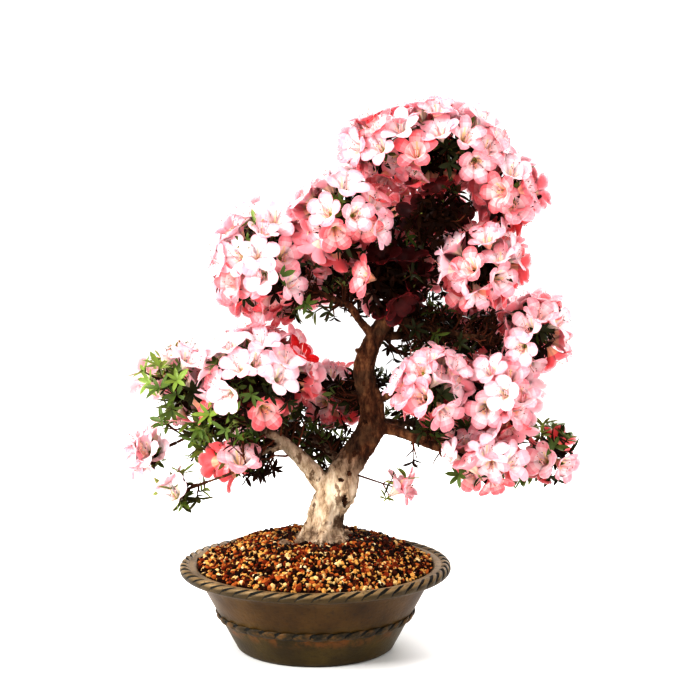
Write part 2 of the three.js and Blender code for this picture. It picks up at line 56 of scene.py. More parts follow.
# Each light: its place, what it points at, its size, its power, and how wide its beam is in degrees
LIGHTS = {
    "key": ((-1.7, -1.6, 1.9), (0.05, 0, 0.4), 0.9, 64, 180),
    "fill": ((1.9, -1.2, 1.3), (0.1, 0, 0.4), 1.4, 6, 180),
    "rim": ((0.8, 1.8, 1.8), (0.05, 0, 0.45), 1.2, 40, 180),
    "side": ((-1.9, -0.8, 0.3), (-0.1, 0, 0.15), 0.6, 1.3, 50),
}
STUDIO = Values(sky_strength=1.08, exposure=0.25, gamma=0.72, floor_reach=30000)

# Pot, soil, trunk and boughs, with the part's own sizes

POT = Values(
    base_radius=103,
    wall_slope=0.536,
    wall_thickness=9,
    floor_thickness=12,
    foot_chamfer=3,
    flange_height=98,
    flange_start=92,
    flange_end=104,
    flange_fillet=(4, 1),
    rim_height=108,
    rim_radius=180,
    lip_radius=158,
    lip_height=111,
    lip_bevel=(3, 1),
    segments=432,
)
# The rope on the rim and the band round the wall, and the steps from one of their marks to the next
ROPE = Values(radius=7, turns=54, sides=24, lean=0.6, groove=0.34, gap=0.6, uneven=(0.75, 1.2))
BAND = Values(
    height=46, half_height=6.3, proud=4.5, pinches=36, sides=16, lean=0.25, gap=0.5, uneven=(0.5, 1.2),
)
MARK_STEPS = 14
HUB_RADIUS = 0.5

SOIL = Values(
    edge_height=111.5,
    edge_radius=156,
    mound_height=145.7,
    plateau_radius=54,
    mound_steps=11,
    clod_height=5,
    clod_seed=41,
    segments=36,
    bed_depth=3.2,
    bed_rings=34,
    bed_segments=108,
    bed_roughness=0.4,
    bed_inset=45,
    damp_centre=(44, -10),
    damp_reach=(86, 62),
    damp_fray=0.2,
)
GRAINS = Values(
    count=5800, radius=(1.6, 3.0), depth=1.2, stray=(1.4, 1.4, 0.9), lumps=(0.72, 1.2), stretch=(0.55, 1.75),
)
ROOTLETS = Values(
    count=46, start=(34, 104), reach=(14, 34), rings=7, sway=2.2, lift=1.2, arch=(0, 4), radius=0.5,
)

GROUND = 146

TRUNK = Values(
    path=[
        (10, -10, GROUND),
        (15, -8, 187),
        (36, -6, 235),
        (72, 0, 288),
        (75, 6, 322),
        (64, 4, 366),
        (77, 0, 408),
        (112, 10, 464),
        (138, 10, 533),
        (154, 3, 612),
    ],
    foot_radius=24,
    tip_radius=5,
    taper_power=1.2,
    flare=11,
    flare_height=13,
    buttresses=5,
    buttress_depth=0.28,
)

# Each bough: its path, then its radius at the root and at the tip
BOUGHS = {
    "left_low_bough": (
        [(21, -6, 207), (4, -14, 228), (-12, -22, 249), (-43, -34, 281), (-66, -42, 297)], 14.5, 6.5,
    ),
    "left_far_bough": ([(-43, -34, 281), (-85, -30, 303), (-128, -20, 322)], 6.5, 4),
    "left_under_bough": ([(-36, -31, 276), (-56, -42, 270), (-70, -46, 267)], 5.5, 3.6),
    "left_drop_bough": ([(-106, -26, 313), (-146, 0, 292), (-184, 6, 272)], 3.2, 2.4),
    "left_tip_bough": ([(-64, -45, 268), (-100, -88, 250), (-138, -52, 230)], 2.8, 2),
    "right_low_bough": ([(76, 1, 296), (104, -6, 291), (124, -14, 284), (163, -26, 269)], 9.2, 5.2),
    "right_outer_low_bough": ([(132, -17, 281), (168, -20, 300), (196, -24, 318)], 5, 3.6),
    "right_far_bough": ([(112, -10, 288), (190, 26, 268), (268, 8, 258)], 4.4, 3),
    "right_inner_bough": ([(73, 6, 326), (94, -14, 336), (108, -28, 343)], 6, 4),
    "right_upper_bough": ([(95, 6, 440), (143, -4, 429), (190, -12, 416), (234, -12, 412)], 7.9, 4),
    "right_mid_bough": ([(118, 10, 478), (140, -8, 491), (160, -26, 500)], 6, 4),
    "left_upper_bough": (
        [(78, 0, 411), (56, -16, 440), (46, -24, 455), (28, -28, 463), (-6, -25, 478)], 6, 3.6,
    ),
    "left_inner_bough": ([(131, 10, 512), (106, -14, 530), (84, -34, 548)], 5.5, 3.8),
    "crown_right_bough": ([(143, 8, 556), (174, 6, 574), (204, 4, 588)], 5, 3.4),
    "back_left_bough": ([(74, 5, 328), (56, 26, 334), (44, 42, 333)], 6, 4),
    "back_upper_bough": ([(120, 10, 486), (125, 36, 500), (127, 58, 510)], 6.5, 4.4),
    "back_right_bough": ([(80, 1, 413), (124, 36, 412), (160, 66, 408)], 6.5, 4.4),
    "back_mid_bough": ([(92, 5, 434), (64, 34, 462), (40, 58, 484)], 6.2, 4.4),
    "back_low_left_bough": ([(40, -6, 242), (10, 34, 262), (-26, 66, 284)], 7, 4.4),
    "back_low_right_bough": ([(76, 2, 302), (112, 34, 294), (146, 64, 290)], 6.5, 4.4),
}

# Knots, burrs and surface roots of the bark: a path, then the radius at its root and tip
BURRS = [
    ([(24, -8, 196), (8, -10, 212)], 24, 17),
    ([(26, -8, 180), (35, -8, 213), (46, -7, 252)], 22, 22),
    ([(33, -16, 224), (36, -25, 231)], 8, 5),
    ([(72, 0, 386), (52, -4, 398)], 5.5, 4.2),
    ([(78, 2, 286), (88, -4, 290)], 13, 8),
    ([(-4, -18, 150), (-20, -28, 145), (-34, -34, 142)], 9, 5),
    ([(-6, -4, 150), (-24, 6, 144), (-40, 12, 139)], 9, 4),
    ([(26, -24, 150), (36, -36, 144), (42, -50, 139)], 8, 4),
    ([(30, 4, 150), (46, 16, 144), (58, 24, 139)], 8, 4),
    ([(12, 12, 150), (6, 32, 144), (-4, 48, 139)], 8, 4),
    ([(-46, -36, 143), (-36, -40, 146), (-26, -42, 142)], 7, 6),
]

# Pits in the bark, sunk a little and painted near-black as shade: x, z, half the width, half the height, and
# the side, -1 in front and 1 behind
PITS = [
    (39, 199, 4.4, 12, -1),
    (34, 228, 5, 4, -1),
    (45, 236, 4, 5, -1),
    (52, 262, 4, 6, -1),
    (66, 302, 4, 5, -1),
    (64, 352, 3, 6, -1),
    (26, 212, 4, 8, 1),
    (58, 276, 4, 6, 1),
]
PIT_DEPTH = 2.4
PIT_EDGE = 0.3

# The bark's skin: how the trunk, boughs and burrs are meshed before they grow together
BARK = Values(
    trunk_rings=90,
    trunk_sides=36,
    sunk=8,
    bough_step=5,
    bough_rings=8,
    bough_sides=12,
    burr_rings=9,
    burr_sides=14,
    stout_burr=15,
    voxel=1.5,
    smoothing=0.5,
    smoothings=8,
    stout=20,
    thin_share=0.35,
)

# Flutes that wind up the trunk: their depth, how many go round, and how far they turn
FLUTES = [(0.06, 3, 9), (0.045, 5, -14)]

# The bark's relief: its height, how fine it is, and how short it is drawn along the limb
RELIEF = Values(
    ridge=(2.4, 0.1, 0.3),
    burr=(1.6, 0.15, 1),
    crack=(1.5, 0.3, 0.5),
    scale=(0.9, 0.42, 0.6),
    pit_fray=(0.7, 0.4, 1),
)

# Each mass of foliage: what it grows from, the share of the trunk's height, centre, reach and kind
MASSES = {
    "crown_top": ("trunk", 1, (146, -2, 658), (128, 92, 74), "dense"),
    "crown_right": ("crown_right_bough", 1, (250, -4, 598), (60, 78, 68), ""),
    "crown_front": ("trunk", 0.9, (160, -62, 572), (62, 62, 58), "leafy"),
    "crown_heart": ("trunk", 0.72, (98, -52, 490), (64, 62, 58), "leafy"),
    "left_upper_inner": ("left_inner_bough", 1, (38, -60, 570), (74, 76, 76), "dense"),
    "left_upper_outer": ("left_upper_bough", 1, (-62, -20, 512), (88, 92, 92), "dense"),
    "right_mid": ("right_mid_bough", 1, (212, -50, 510), (74, 78, 66), "dense"),
    "right_outer": ("right_upper_bough", 1, (284, -10, 418), (62, 80, 66), ""),
    "right_low_inner": ("right_inner_bough", 1, (148, -58, 354), (64, 70, 62), ""),
    "right_low_outer": ("right_outer_low_bough", 1, (242, -30, 340), (66, 84, 72), "dense"),
    "right_low_front": ("right_low_bough", 1, (216, -52, 258), (66, 70, 52), ""),
    "right_low_far": ("right_far_bough", 1, (308, 0, 264), (54, 60, 54), "leafy"),
    "left_low_main": ("left_low_bough", 1, (-70, -55, 370), (90, 86, 80), "dense"),
    "left_low_far": ("left_far_bough", 1, (-182, -10, 352), (74, 86, 66), "leafy"),
    "left_low_drop": ("left_drop_bough", 1, (-218, 10, 262), (50, 54, 48), ""),
    "left_low_tip": ("left_tip_bough", 1, (-170, -24, 214), (48, 48, 40), ""),
    "left_low_under": ("left_under_bough", 1, (-98, -46, 254), (60, 62, 50), "leafy"),
    "back_left": ("back_left_bough", 1, (22, 80, 328), (62, 66, 58), ""),
    "back_upper": ("back_upper_bough", 1, (126, 112, 544), (104, 82, 92), "dense"),
    "back_right": ("back_right_bough", 1, (226, 108, 410), (80, 78, 78), "dense"),
    "back_mid": ("back_mid_bough", 1, (-22, 98, 508), (88, 80, 72), "dense"),
    "back_low_left": ("back_low_left_bough", 1, (-84, 106, 318), (80, 76, 66), ""),
    "back_low_right": ("back_low_right_bough", 1, (206, 106, 292), (70, 72, 58), ""),
    "trunk_shoot": ("trunk", 0.19, (102, -34, 220), (50, 42, 36), ""),
}

# Growth: the part's own rule, then finer passes that fill in between its blossoms

GROWTH = Values(
    first_seed=307,
    seed_step=17,
    shell_depth=0.74,
    depth_step=0.06,
    bloom_share=0.9,
    under_bloom_share=0.5,
    leafy_bloom_share=0.3,
    under_side=-0.35,
    skyward=0.25,
    gap=0.3,
    stem_radius=4,
    stem_tip=1.9,
    stem_reach=0.2,
    stem_bend=0.4,
    stem_share=0.92,
    stem_steps=3,
    twig_radius=1.6,
    twig_tip=1.0,
    twig_share=0.85,
    taper=0.8,
    joints=(0.4, 0.7),
    turn_cost=1.6,
    shortest_twig=5,
    star_clearance=6,
    twig_clearance=2,
    nearby=45,
)

# How freely a mass blooms in the finer passes, where that is less than in full
BLOOM = {
    "crown_front": 0.3,
    "crown_heart": 0.45,
    "left_low_far": 0.25,
    "left_low_drop": 0.45,
    "left_low_tip": 0.0,
    "left_low_under": 0.3,
    "crown_right": 0.6,
    "right_outer": 0.7,
    "right_low_far": 0.12,
    "trunk_shoot": 0.0,
}

# Masses whose finer blossoms or whorls stand closer or wider than the others, as a share of the spacing
CLOSER = {
    ("left_low_under", "whorl"): 1.2,
    ("left_low_drop", "whorl"): 1.5,
    ("right_low_inner", "blossom"): 0.95,
    ("right_low_outer", "blossom"): 0.92,
    ("right_low_front", "blossom"): 1.1,
    ("right_low_inner", "whorl"): 1.1,
    ("right_low_outer", "whorl"): 1.15,
    ("right_low_front", "whorl"): 1.1,
    ("trunk_shoot", "whorl"): 1.5,
    ("crown_front", "whorl"): 0.8,
    ("crown_heart", "whorl"): 0.8,
}

# How far the finer growth draws back from a mass's outline in some places, as a share of its reach
RAGGED = 0.3
RAGGED_SPAN = 46

# Sides of a mass where the finer growth draws back by one share all over, and how wide such a side is
SIDES = {
    "crown_top": ((-0.94, -0.3, 0.1), 0.0),
    "left_low_main": ((-0.6, -0.2, 0.77), 0.0),
    "right_low_inner": ((-0.9, -0.4, 0.1), 0.0),
    "left_low_far": ((-0.8, 0.0, -0.6), 0.45),
}
SIDE_WIDTH = 0.62

# Limbs that stay in view: the share of the length in front of which nothing grows, and the room beside it
IN_VIEW = {
    "trunk": (0.0, 0.6, 12),
    "left_low_bough": (0.0, 0.96, 12),
    "left_under_bough": (0.0, 0.5, 6),
    "left_upper_bough": (0.0, 0.75, 6),
    "right_low_bough": (0.0, 0.75, 6),
}

# Stems that stay thinner than the others, as a share of their radius
SLENDER = {"trunk_shoot": 0.4}

# Masses that the light leaves dark: how far their front comes forward, as a share of their reach
HOLLOW = {"crown_front": 0.35, "crown_heart": 0.5}

# Masses and boughs in full light, with longer and brighter leaves
SUNLIT = (
    "left_low_far",
    "left_low_drop",
    "left_low_tip",
    "right_low_far",
    "trunk_shoot",
    "left_far_bough",
    "left_drop_bough",
    "right_far_bough",
)

# How much paler the blossom of a mass is, or deeper where that is below 0, than its place makes it. Much of
# it is painted light and shade: paler for masses in full light and at the crown's edges, deeper under a
# bough.
PALE = {
    "left_low_far": 0.25,
    "left_low_drop": 0.7,
    "left_low_tip": 0.5,
    "left_low_main": 0.05,
    "right_low_inner": 0.12,
    "right_low_outer": 0.2,
    "right_low_front": 0.2,
    "left_low_under": -0.5,
    "left_upper_outer": 0.12,
    "crown_top": -0.05,
    "crown_right": 0.25,
    "right_outer": 0.2,
    "trunk_shoot": 0.45,
}

# Masses whose blossoms turn to one side
TURNED = {
    "left_low_drop": (-1.0, -0.7, 0.2),
    "left_low_tip": (-1.2, -0.6, 0.5),
    "trunk_shoot": (1.8, -0.7, 0.5),
}

# Shoots along the boughs: first and last share of the length, how many, their reach, and the leafy share
SHOOTS = {
    "left_low_bough": (0.55, 1.0, 28, 48, 0.55),
    "left_far_bough": (0.0, 1.0, 30, 50, 0.7),
    "left_under_bough": (0.4, 1.0, 12, 40, 0.6),
    "left_drop_bough": (0.1, 0.9, 16, 36, 0.5),
    "left_tip_bough": (0.0, 0.4, 6, 30, 0.6),
    "left_upper_bough": (0.35, 1.0, 26, 40, 0.4),
    "left_inner_bough": (0.2, 1.0, 14, 38, 0.6),
    "right_low_bough": (0.6, 1.0, 8, 32, 0.4),
    "right_outer_low_bough": (0.1, 1.0, 10, 34, 0.6),
    "right_far_bough": (0.55, 1.0, 12, 34, 0.8),
    "right_upper_bough": (0.1, 1.0, 52, 40, 0.35),
    "right_mid_bough": (0.1, 1.0, 12, 36, 0.5),
    "back_low_left_bough": (0.15, 1.0, 34, 44, 0.45),
    "back_left_bough": (0.2, 1.0, 18, 42, 0.6),
    "back_mid_bough": (0.3, 1.0, 12, 40, 0.5),
    "back_right_bough": (0.05, 1.0, 30, 40, 0.35),
    "back_low_right_bough": (0.6, 1.0, 10, 36, 0.6),
}

# Blossoms and whorls of leaves: their size, and the corners of one sector that show whether they have room
BLOSSOM = Values(
    points=5, radius=27, length=30, turns=(-0.3, 0.3, 0.5), outs=(1, 1, 0.6), lifts=(0.96, 0.96, 0.72),
)
WHORL = Values(
    points=5, radius=31, length=15.5, turns=(-0.1, 0, 0.1), outs=(0.6, 1, 0.6), lifts=(0.55, 1, 0.55),
)
STARS = {"blossom": BLOSSOM, "whorl": WHORL}

# The first two passes are the part's own and keep each mass apart. The rest fill in across the seams.
PASSES = [
    Values(kind="blossom", area=2200, depths=(1.0, 0.52), spacing=47, size=1.0, jitter=0.5, own=True),
    Values(kind="whorl", area=2200, depths=(1.0, 0.52), spacing=48, size=1.0, jitter=0.5, own=True),
    Values(kind="blossom", area=330, depths=(1.0, 0.7), spacing=33, size=0.98, jitter=0.9, own=False),
    Values(kind="blossom", area=330, depths=(0.86, 0.4), spacing=25, size=0.95, jitter=1.3, own=False),
    Values(kind="whorl", area=260, depths=(0.86, 0.5), spacing=26, size=0.7, jitter=0.9, own=False),
    Values(kind="whorl", area=240, depths=(0.64, 0.3), spacing=23, size=0.7, jitter=0.9, own=False),
    Values(kind="whorl", area=160, depths=(0.4, 0.1), spacing=23, size=0.7, jitter=0.9, own=False),
]

# Colours, as red, green and blue from 0 to 255

# Petals: throat, heart and edge of the front, tube and lobe of the back. The deeper tints go to blossoms in
# shade, as painted shade.
PETAL_COLOURS = {
    "pale": ((253, 242, 210), (255, 239, 241), (251, 202, 211), (251, 228, 210), (250, 206, 211)),
    "pink": ((253, 236, 202), (255, 233, 235), (249, 180, 190), (250, 214, 194), (249, 186, 194)),
    "rose": ((252, 222, 182), (255, 224, 225), (245, 150, 159), (248, 198, 176), (245, 160, 167)),
    "coral": ((249, 204, 162), (253, 204, 201), (234, 108, 114), (245, 174, 146), (239, 120, 124)),
    "red": ((216, 96, 74), (212, 54, 52), (178, 20, 28), (202, 74, 54), (188, 30, 34)),
    # painted_shade_wine is painted shade: dark red blossoms for the crown's dark hollows
    "painted_shade_wine": ((88, 32, 24), (84, 22, 20), (60, 9, 11), (72, 19, 15), (57, 11, 12)),
}
GRADES = 8
THROAT, TUBE, BACK = GRADES, GRADES + 1, GRADES + 2

# Leaves: upper side, under side, and the gloss. The tints are dealt out by how the light falls, so the bright
# ones are partly painted light and the dark ones painted shade.
LEAF_COLOURS = {
    "spring": ((124, 143, 62), (156, 168, 100), 0.4),
    "green": ((86, 104, 43), (118, 128, 74), 0.3),
    "deep": ((46, 50, 21), (76, 76, 42), 0.15),
    "dark": ((38, 17, 8), (52, 28, 15), 0.06),
}

# Twigs, stamens, buds, grains of soil with the share of each, and rootlets
# The twig browns are darkened as painted shade.
TWIG_COLOURS = {"brown": (68, 37, 22), "russet": (102, 56, 36), "stalk": (150, 156, 84)}
STAMEN_COLOURS = {"filament": (250, 206, 206), "anther": (112, 72, 52), "style": (244, 168, 156)}
BUD_COLOURS = {"scale": (176, 160, 84), "side": (234, 146, 130), "tip": (222, 96, 96)}
GRAIN_COLOURS = {
    "gold": (202, 156, 88),
    "tan": (212, 182, 128),
    "orange": (172, 100, 48),
    "cream": (228, 210, 166),
    "russet": (120, 47, 19),
    "brown": (68, 28, 12),
    "dark": (30, 12, 6),
}
GRAIN_SHARES = (0.18, 0.11, 0.17, 0.02, 0.15, 0.17, 0.2)
DARK_PATCH_GRAIN_SHARES = (0.05, 0.03, 0.09, 0.02, 0.13, 0.26, 0.42)
ROOTLET_COLOUR = (44, 30, 22)


# Vectors and curves


def unit(vectors):
    return vectors / np.maximum(np.linalg.norm(vectors, axis=-1, keepdims=True), 1e-9)


def rows_of(things, name):
    """One value of many things, as rows."""
    return np.array([getattr(thing, name) for thing in things])


def middles(values):
    return 0.5 * (values[1:] + values[:-1])


def across(direction):
    """A right-handed pair of directions across a third."""
    helper = UP if abs(direction[2]) < 0.9 else np.array([1.0, 0.0, 0.0])
    side = unit(np.cross(helper, direction))
    return side, np.cross(direction, side)


def smooth_step(low, high, values):
    share = np.clip((values - low) / (high - low), 0, 1)
    return share * share * (3 - 2 * share)


def smooth_points(points, samples=24):
    """Points along a centripetal Catmull-Rom curve through `points`."""
    p = np.asarray(points, float)
    p = np.vstack([2 * p[0] - p[1], p, 2 * p[-1] - p[-2]])
    t = np.linspace(0, 1, samples, endpoint=False)[:, None]
    stretches = []
    for a, b, c, d in zip(p, p[1:], p[2:], p[3:]):
        k0, k1, k2 = (math.sqrt(np.linalg.norm(q - r)) for q, r in ((b, a), (c, b), (d, c)))
        leave = ((b - a) / k0 - (c - a) / (k0 + k1) + (c - b) / k1) * k1
        arrive = ((c - b) / k1 - (d - b) / (k1 + k2) + (d - c) / k2) * k1
        bend = t**2 * (3 * (c - b) - 2 * leave - arrive) + t**3 * (2 * (b - c) + leave + arrive)
        stretches.append(b + t * leave + bend)
    return np.vstack([*stretches, p[-2:-1]])


class Path:
    """A line through close points, read by the share of its length."""

    def __init__(self, points):
        self.points = points
        steps = np.linalg.norm(np.diff(points, axis=0), axis=1)
        self.marks = np.concatenate([[0], np.cumsum(steps)])
        self.length = self.marks[-1]

    def at(self, shares):
        where = np.asarray(shares) * self.length
        return np.stack([np.interp(where, self.marks, self.points[:, k]) for k in range(3)], axis=-1)

    def heading(self, share):
        return unit(self.at(min(share + 0.01, 1)) - self.at(max(share - 0.01, 0)))


# Meshes


class Shape:
    """Points, faces and material slots that become one mesh."""

    def __init__(self):
        self.points, self.faces, self.slots, self.count = [], [], [], 0

    def add(self, points, faces, slots=0):
        points = np.asarray(points, float).reshape(-1, 3)
        self.points.append(points)
        self.faces.append(np.asarray(faces) + self.count)
        self.slots.append(np.broadcast_to(slots, len(faces)))
        self.count += len(points)

    def piece(self, name, materials, smooth=True):
        """An object of the mesh, in metres."""
        corners = np.concatenate([rows.ravel() for rows in self.faces])
        sizes = np.concatenate([np.full(len(rows), rows.shape[1]) for rows in self.faces])
        starts = np.concatenate([[0], np.cumsum(sizes)[:-1]])
        mesh = bpy.data.meshes.new(name)
        mesh.vertices.add(self.count)
        mesh.vertices.foreach_set("co", (np.vstack(self.points) * MM).astype(np.float32).ravel())
        mesh.loops.add(len(corners))
        mesh.loops.foreach_set("vertex_index", corners.astype(np.int32))
        mesh.polygons.add(len(sizes))
        mesh.polygons.foreach_set("loop_start", starts.astype(np.int32))
        mesh.polygons.foreach_set("material_index", np.concatenate(self.slots).astype(np.int32))
        mesh.polygons.foreach_set("use_smooth", np.full(len(sizes), smooth))
        for material in materials:
            mesh.materials.append(material)
        mesh.update(calc_edges=True)
        mesh.validate()
        piece = bpy.data.objects.new(name, mesh)
        bpy.context.scene.collection.objects.link(piece)
        return piece


def grid_quads(rows, columns, wrap=False):
    """Quads of a grid of points, row by row. With `wrap` the last column meets the first."""
    index = np.arange(rows * columns).reshape(rows, columns)
    left = index if wrap else index[:, :-1]
    right = np.roll(index, -1, axis=1) if wrap else index[:, 1:]
    return np.stack([left[:-1], right[:-1], right[1:], left[1:]], axis=-1).reshape(-1, 4)


def repeated(faces, copies, points_each):
    """The faces of many like shapes whose points follow one another."""
    starts = np.arange(copies) * points_each
    return (np.asarray(faces)[None] + starts[:, None, None]).reshape(-1, len(faces[0]))


def add_tubes(shape, paths, radii, sides, slots=0, along=None):
    """Adds closed tubes with one slot each, along their own paths or the headings that are given.

    paths is (tubes, rings, 3). radii is (tubes, rings), or (tubes, rings, sides) where they vary all round.
    """
    tubes, rings = radii.shape[:2]
    radii = radii.reshape(tubes, rings, -1)
    along = unit(np.gradient(paths, axis=1)) if along is None else along
    helper = np.where(np.abs(along[:, :1, 2:]) < 0.9, UP, np.array([1.0, 0.0, 0.0]))[:, 0]
    side = unit(np.cross(helper, along[:, 0]))
    angles = np.arange(sides) * TURN / sides
    points = np.empty((tubes, rings, sides, 3))
    for ring in range(rings):
        heading = along[:, ring]
        side = unit(side - heading * np.sum(side * heading, axis=1, keepdims=True))
        other = np.cross(heading, side)
        spokes = np.cos(angles)[:, None] * side[:, None] + np.sin(angles)[:, None] * other[:, None]
        points[:, ring] = paths[:, ring, None] + radii[:, ring, :, None] * spokes
    walls = grid_quads(rings, sides, wrap=True)
    fan = np.array([(0, k + 1, k) for k in range(1, sides - 1)])
    caps = np.vstack([fan, (rings - 1) * sides + fan[:, ::-1]])
    each = rings * sides
    slots = np.broadcast_to(slots, tubes)
    shape.add(points, repeated(walls, tubes, each), np.repeat(slots, len(walls)))
    shape.add(np.empty((0, 3)), repeated(caps, tubes, each) - tubes * each, np.repeat(slots, len(caps)))


# Materials


def linear(colour):
    """A colour from 0 to 255 as the shader's linear red, green, blue and alpha."""
    channel = np.asarray(colour, float) / 255
    value = np.where(channel <= 0.04045, channel / 12.92, ((channel + 0.055) / 1.055) ** 2.4)
    return (*value, 1.0)


def plain_material(name, colour, roughness, **sockets):
    """A material of one base colour, for small things whose colours are dealt out face by face."""
    material = bpy.data.materials.new(name)
    material.use_nodes = True
    shader = material.node_tree.nodes["Principled BSDF"]
    shader.inputs["Base Color"].default_value = linear(colour)
    shader.inputs["Roughness"].default_value = roughness
    for socket, value in sockets.items():
        shader.inputs[socket.replace("_", " ")].default_value = value
    return material


def plain_skins(prefix, colours, roughness, **sockets):
    return [plain_material(prefix + name, colour, roughness, **sockets) for name, colour in colours.items()]


class Nodes:
    """A material's node tree, with short calls for the nodes that the patterns use."""

    def __init__(self, name):
        self.material = bpy.data.materials.new(name)
        self.material.use_nodes = True
        self.tree = self.material.node_tree
        self.shader = self.tree.nodes["Principled BSDF"]
        self.place = self.new("ShaderNodeTexCoord").outputs["Object"]

    def new(self, kind, **inputs):
        """A node with its inputs set or linked. An underscore in a name stands for a space."""
        node = self.tree.nodes.new(kind)
        for name, value in inputs.items():
            self.feed(node.inputs[name.replace("_", " ")], value)
        return node

    def feed(self, socket, value):
        if isinstance(value, bpy.types.NodeSocket):
            self.tree.links.new(value, socket)
        else:
            socket.default_value = value

    def stretched(self, x, y, z):
        return self.new("ShaderNodeMapping", Vector=self.place, Scale=(x, y, z)).outputs["Vector"]

    def noise(self, scale, detail=4, rough=0.55, place=None):
        place = place or self.place
        texture = self.new("ShaderNodeTexNoise", Vector=place, Scale=scale, Detail=detail, Roughness=rough)
        return texture.outputs["Fac"]

    def ramp(self, value, *stops):
        """Colours, or grey levels, at stops of the value: (place, colour) pairs."""
        ramp = self.new("ShaderNodeValToRGB", Fac=value)
        elements = ramp.color_ramp.elements
        while len(elements) < len(stops):
            elements.new(0.5)
        for element, (where, colour) in zip(elements, stops):
            element.position = where
            element.color = linear(colour) if isinstance(colour, tuple) else (colour, colour, colour, 1)
        return ramp.outputs["Color"]

    def mix(self, share, one, two):
        """One colour where the share is 0, and the other where it is 1."""
        mix = self.tree.nodes.new("ShaderNodeMix")
        mix.data_type = "RGBA"
        self.feed(mix.inputs["Factor"], share)
        colour_in = [socket for socket in mix.inputs if socket.type == "RGBA"]
        self.feed(colour_in[0], linear(one) if isinstance(one, tuple) else one)
        self.feed(colour_in[1], linear(two) if isinstance(two, tuple) else two)
        return next(socket for socket in mix.outputs if socket.type == "RGBA")

    def height(self):
        return self.new("ShaderNodeSeparateXYZ", Vector=self.place).outputs["Z"]

    def along(self, x, y, z):
        """The distance along a direction."""
        dot = self.new("ShaderNodeVectorMath")
        dot.operation = "DOT_PRODUCT"
        self.feed(dot.inputs[0], self.place)
        dot.inputs[1].default_value = (x, y, z)
        return dot.outputs["Value"]

    def out_from(self, x, y):
        """The distance from an upright line through x and y."""
        mapping = self.new("ShaderNodeMapping", Vector=self.place, Location=(-x, -y, 0), Scale=(1, 1, 0))
        length = self.new("ShaderNodeVectorMath")
        length.operation = "LENGTH"
        self.feed(length.inputs[0], mapping.outputs["Vector"])
        return length.outputs["Value"]

    def between(self, value, low, high):
        """How far a value lies between two levels, from 0 to 1."""
        return self.new("ShaderNodeMapRange", Value=value, From_Min=low, From_Max=high).outputs["Result"]

    def bump(self, height, distance):
        node = self.new("ShaderNodeBump", Height=height, Distance=distance, Strength=1.0)
        self.feed(self.shader.inputs["Normal"], node.outputs["Normal"])

    def finish(self, **sockets):
        """Sets or links the shader's sockets, and gives the material."""
        for name, value in sockets.items():
            self.feed(self.shader.inputs[name.replace("_", " ")], value)
        return self.material


def bark_material():
    """Pale flaked bark low on the trunk, brown bark higher up and further out, and soil at the foot."""
    n = Nodes("azalea_bark")
    grain = n.noise(95, 8, 0.68, n.stretched(1, 1, 0.4))
    flakes = n.noise(60, 5, 0.6, n.stretched(1, 1, 0.6))
    patches = n.noise(26, 4, 0.6)
    cream = n.ramp(grain, (0.34, (138, 108, 82)), (0.45, (210, 184, 154)), (0.6, (246, 229, 205)))
    brown = n.ramp(grain, (0.34, (38, 18, 9)), (0.48, (90, 54, 32)), (0.64, (148, 106, 72)))
    grey = n.ramp(grain, (0.36, (68, 44, 28)), (0.6, (148, 120, 94)))
    cream = n.mix(n.ramp(flakes, (0.4, 0.9), (0.44, 0.0)), cream, grey)
    aged = n.mix(n.between(n.along(0.5, 0, 1), 0.226, 0.29), cream, brown)
    aged = n.mix(n.between(n.out_from(0.005, -0.015), 0.055, 0.1), aged, brown)
    stain = n.ramp(grain, (0.36, (44, 24, 13)), (0.6, (108, 78, 54)))
    dirty = n.mix(n.ramp(patches, (0.4, 0.95), (0.48, 0.0)), aged, stain)
    soiled = n.mix(n.ramp(flakes, (0.42, 0.2), (0.58, 0.9)), dirty, grey)
    colour = n.mix(n.between(n.height(), 0.172, 0.15), dirty, soiled)
    n.bump(n.noise(170, 8, 0.75, n.stretched(1, 1, 0.5)), 0.005)
    rough = n.ramp(grain, (0.3, 0.95), (0.7, 0.75))
    return n.finish(Base_Color=colour, Roughness=rough, Specular_IOR_Level=0.2)


def clouded_material(name, pattern, colours, roughness, gloss=0.5, bump=None):
    """Colours at stops of one noise, roughness at stops of it or all one, and a bump from a second noise."""
    n = Nodes(name)
    cloud = n.noise(*pattern)
    if bump:
        *bump_pattern, distance = bump
        n.bump(n.noise(*bump_pattern), distance)
    rough = n.ramp(cloud, *roughness) if isinstance(roughness, tuple) else roughness
    return n.finish(Base_Color=n.ramp(cloud, *colours), Roughness=rough, Specular_IOR_Level=gloss)


# Painted shade: the near-black of the pits' hollows.
def shaded_pit_material():
    colours = ((0.36, (24, 10, 5)), (0.62, (90, 56, 36)))
    return clouded_material("painted_shade_in_bark_pits", (150, 6, 0.7), colours, 0.95, 0.1, (260, 6, 0.7, 0.003))


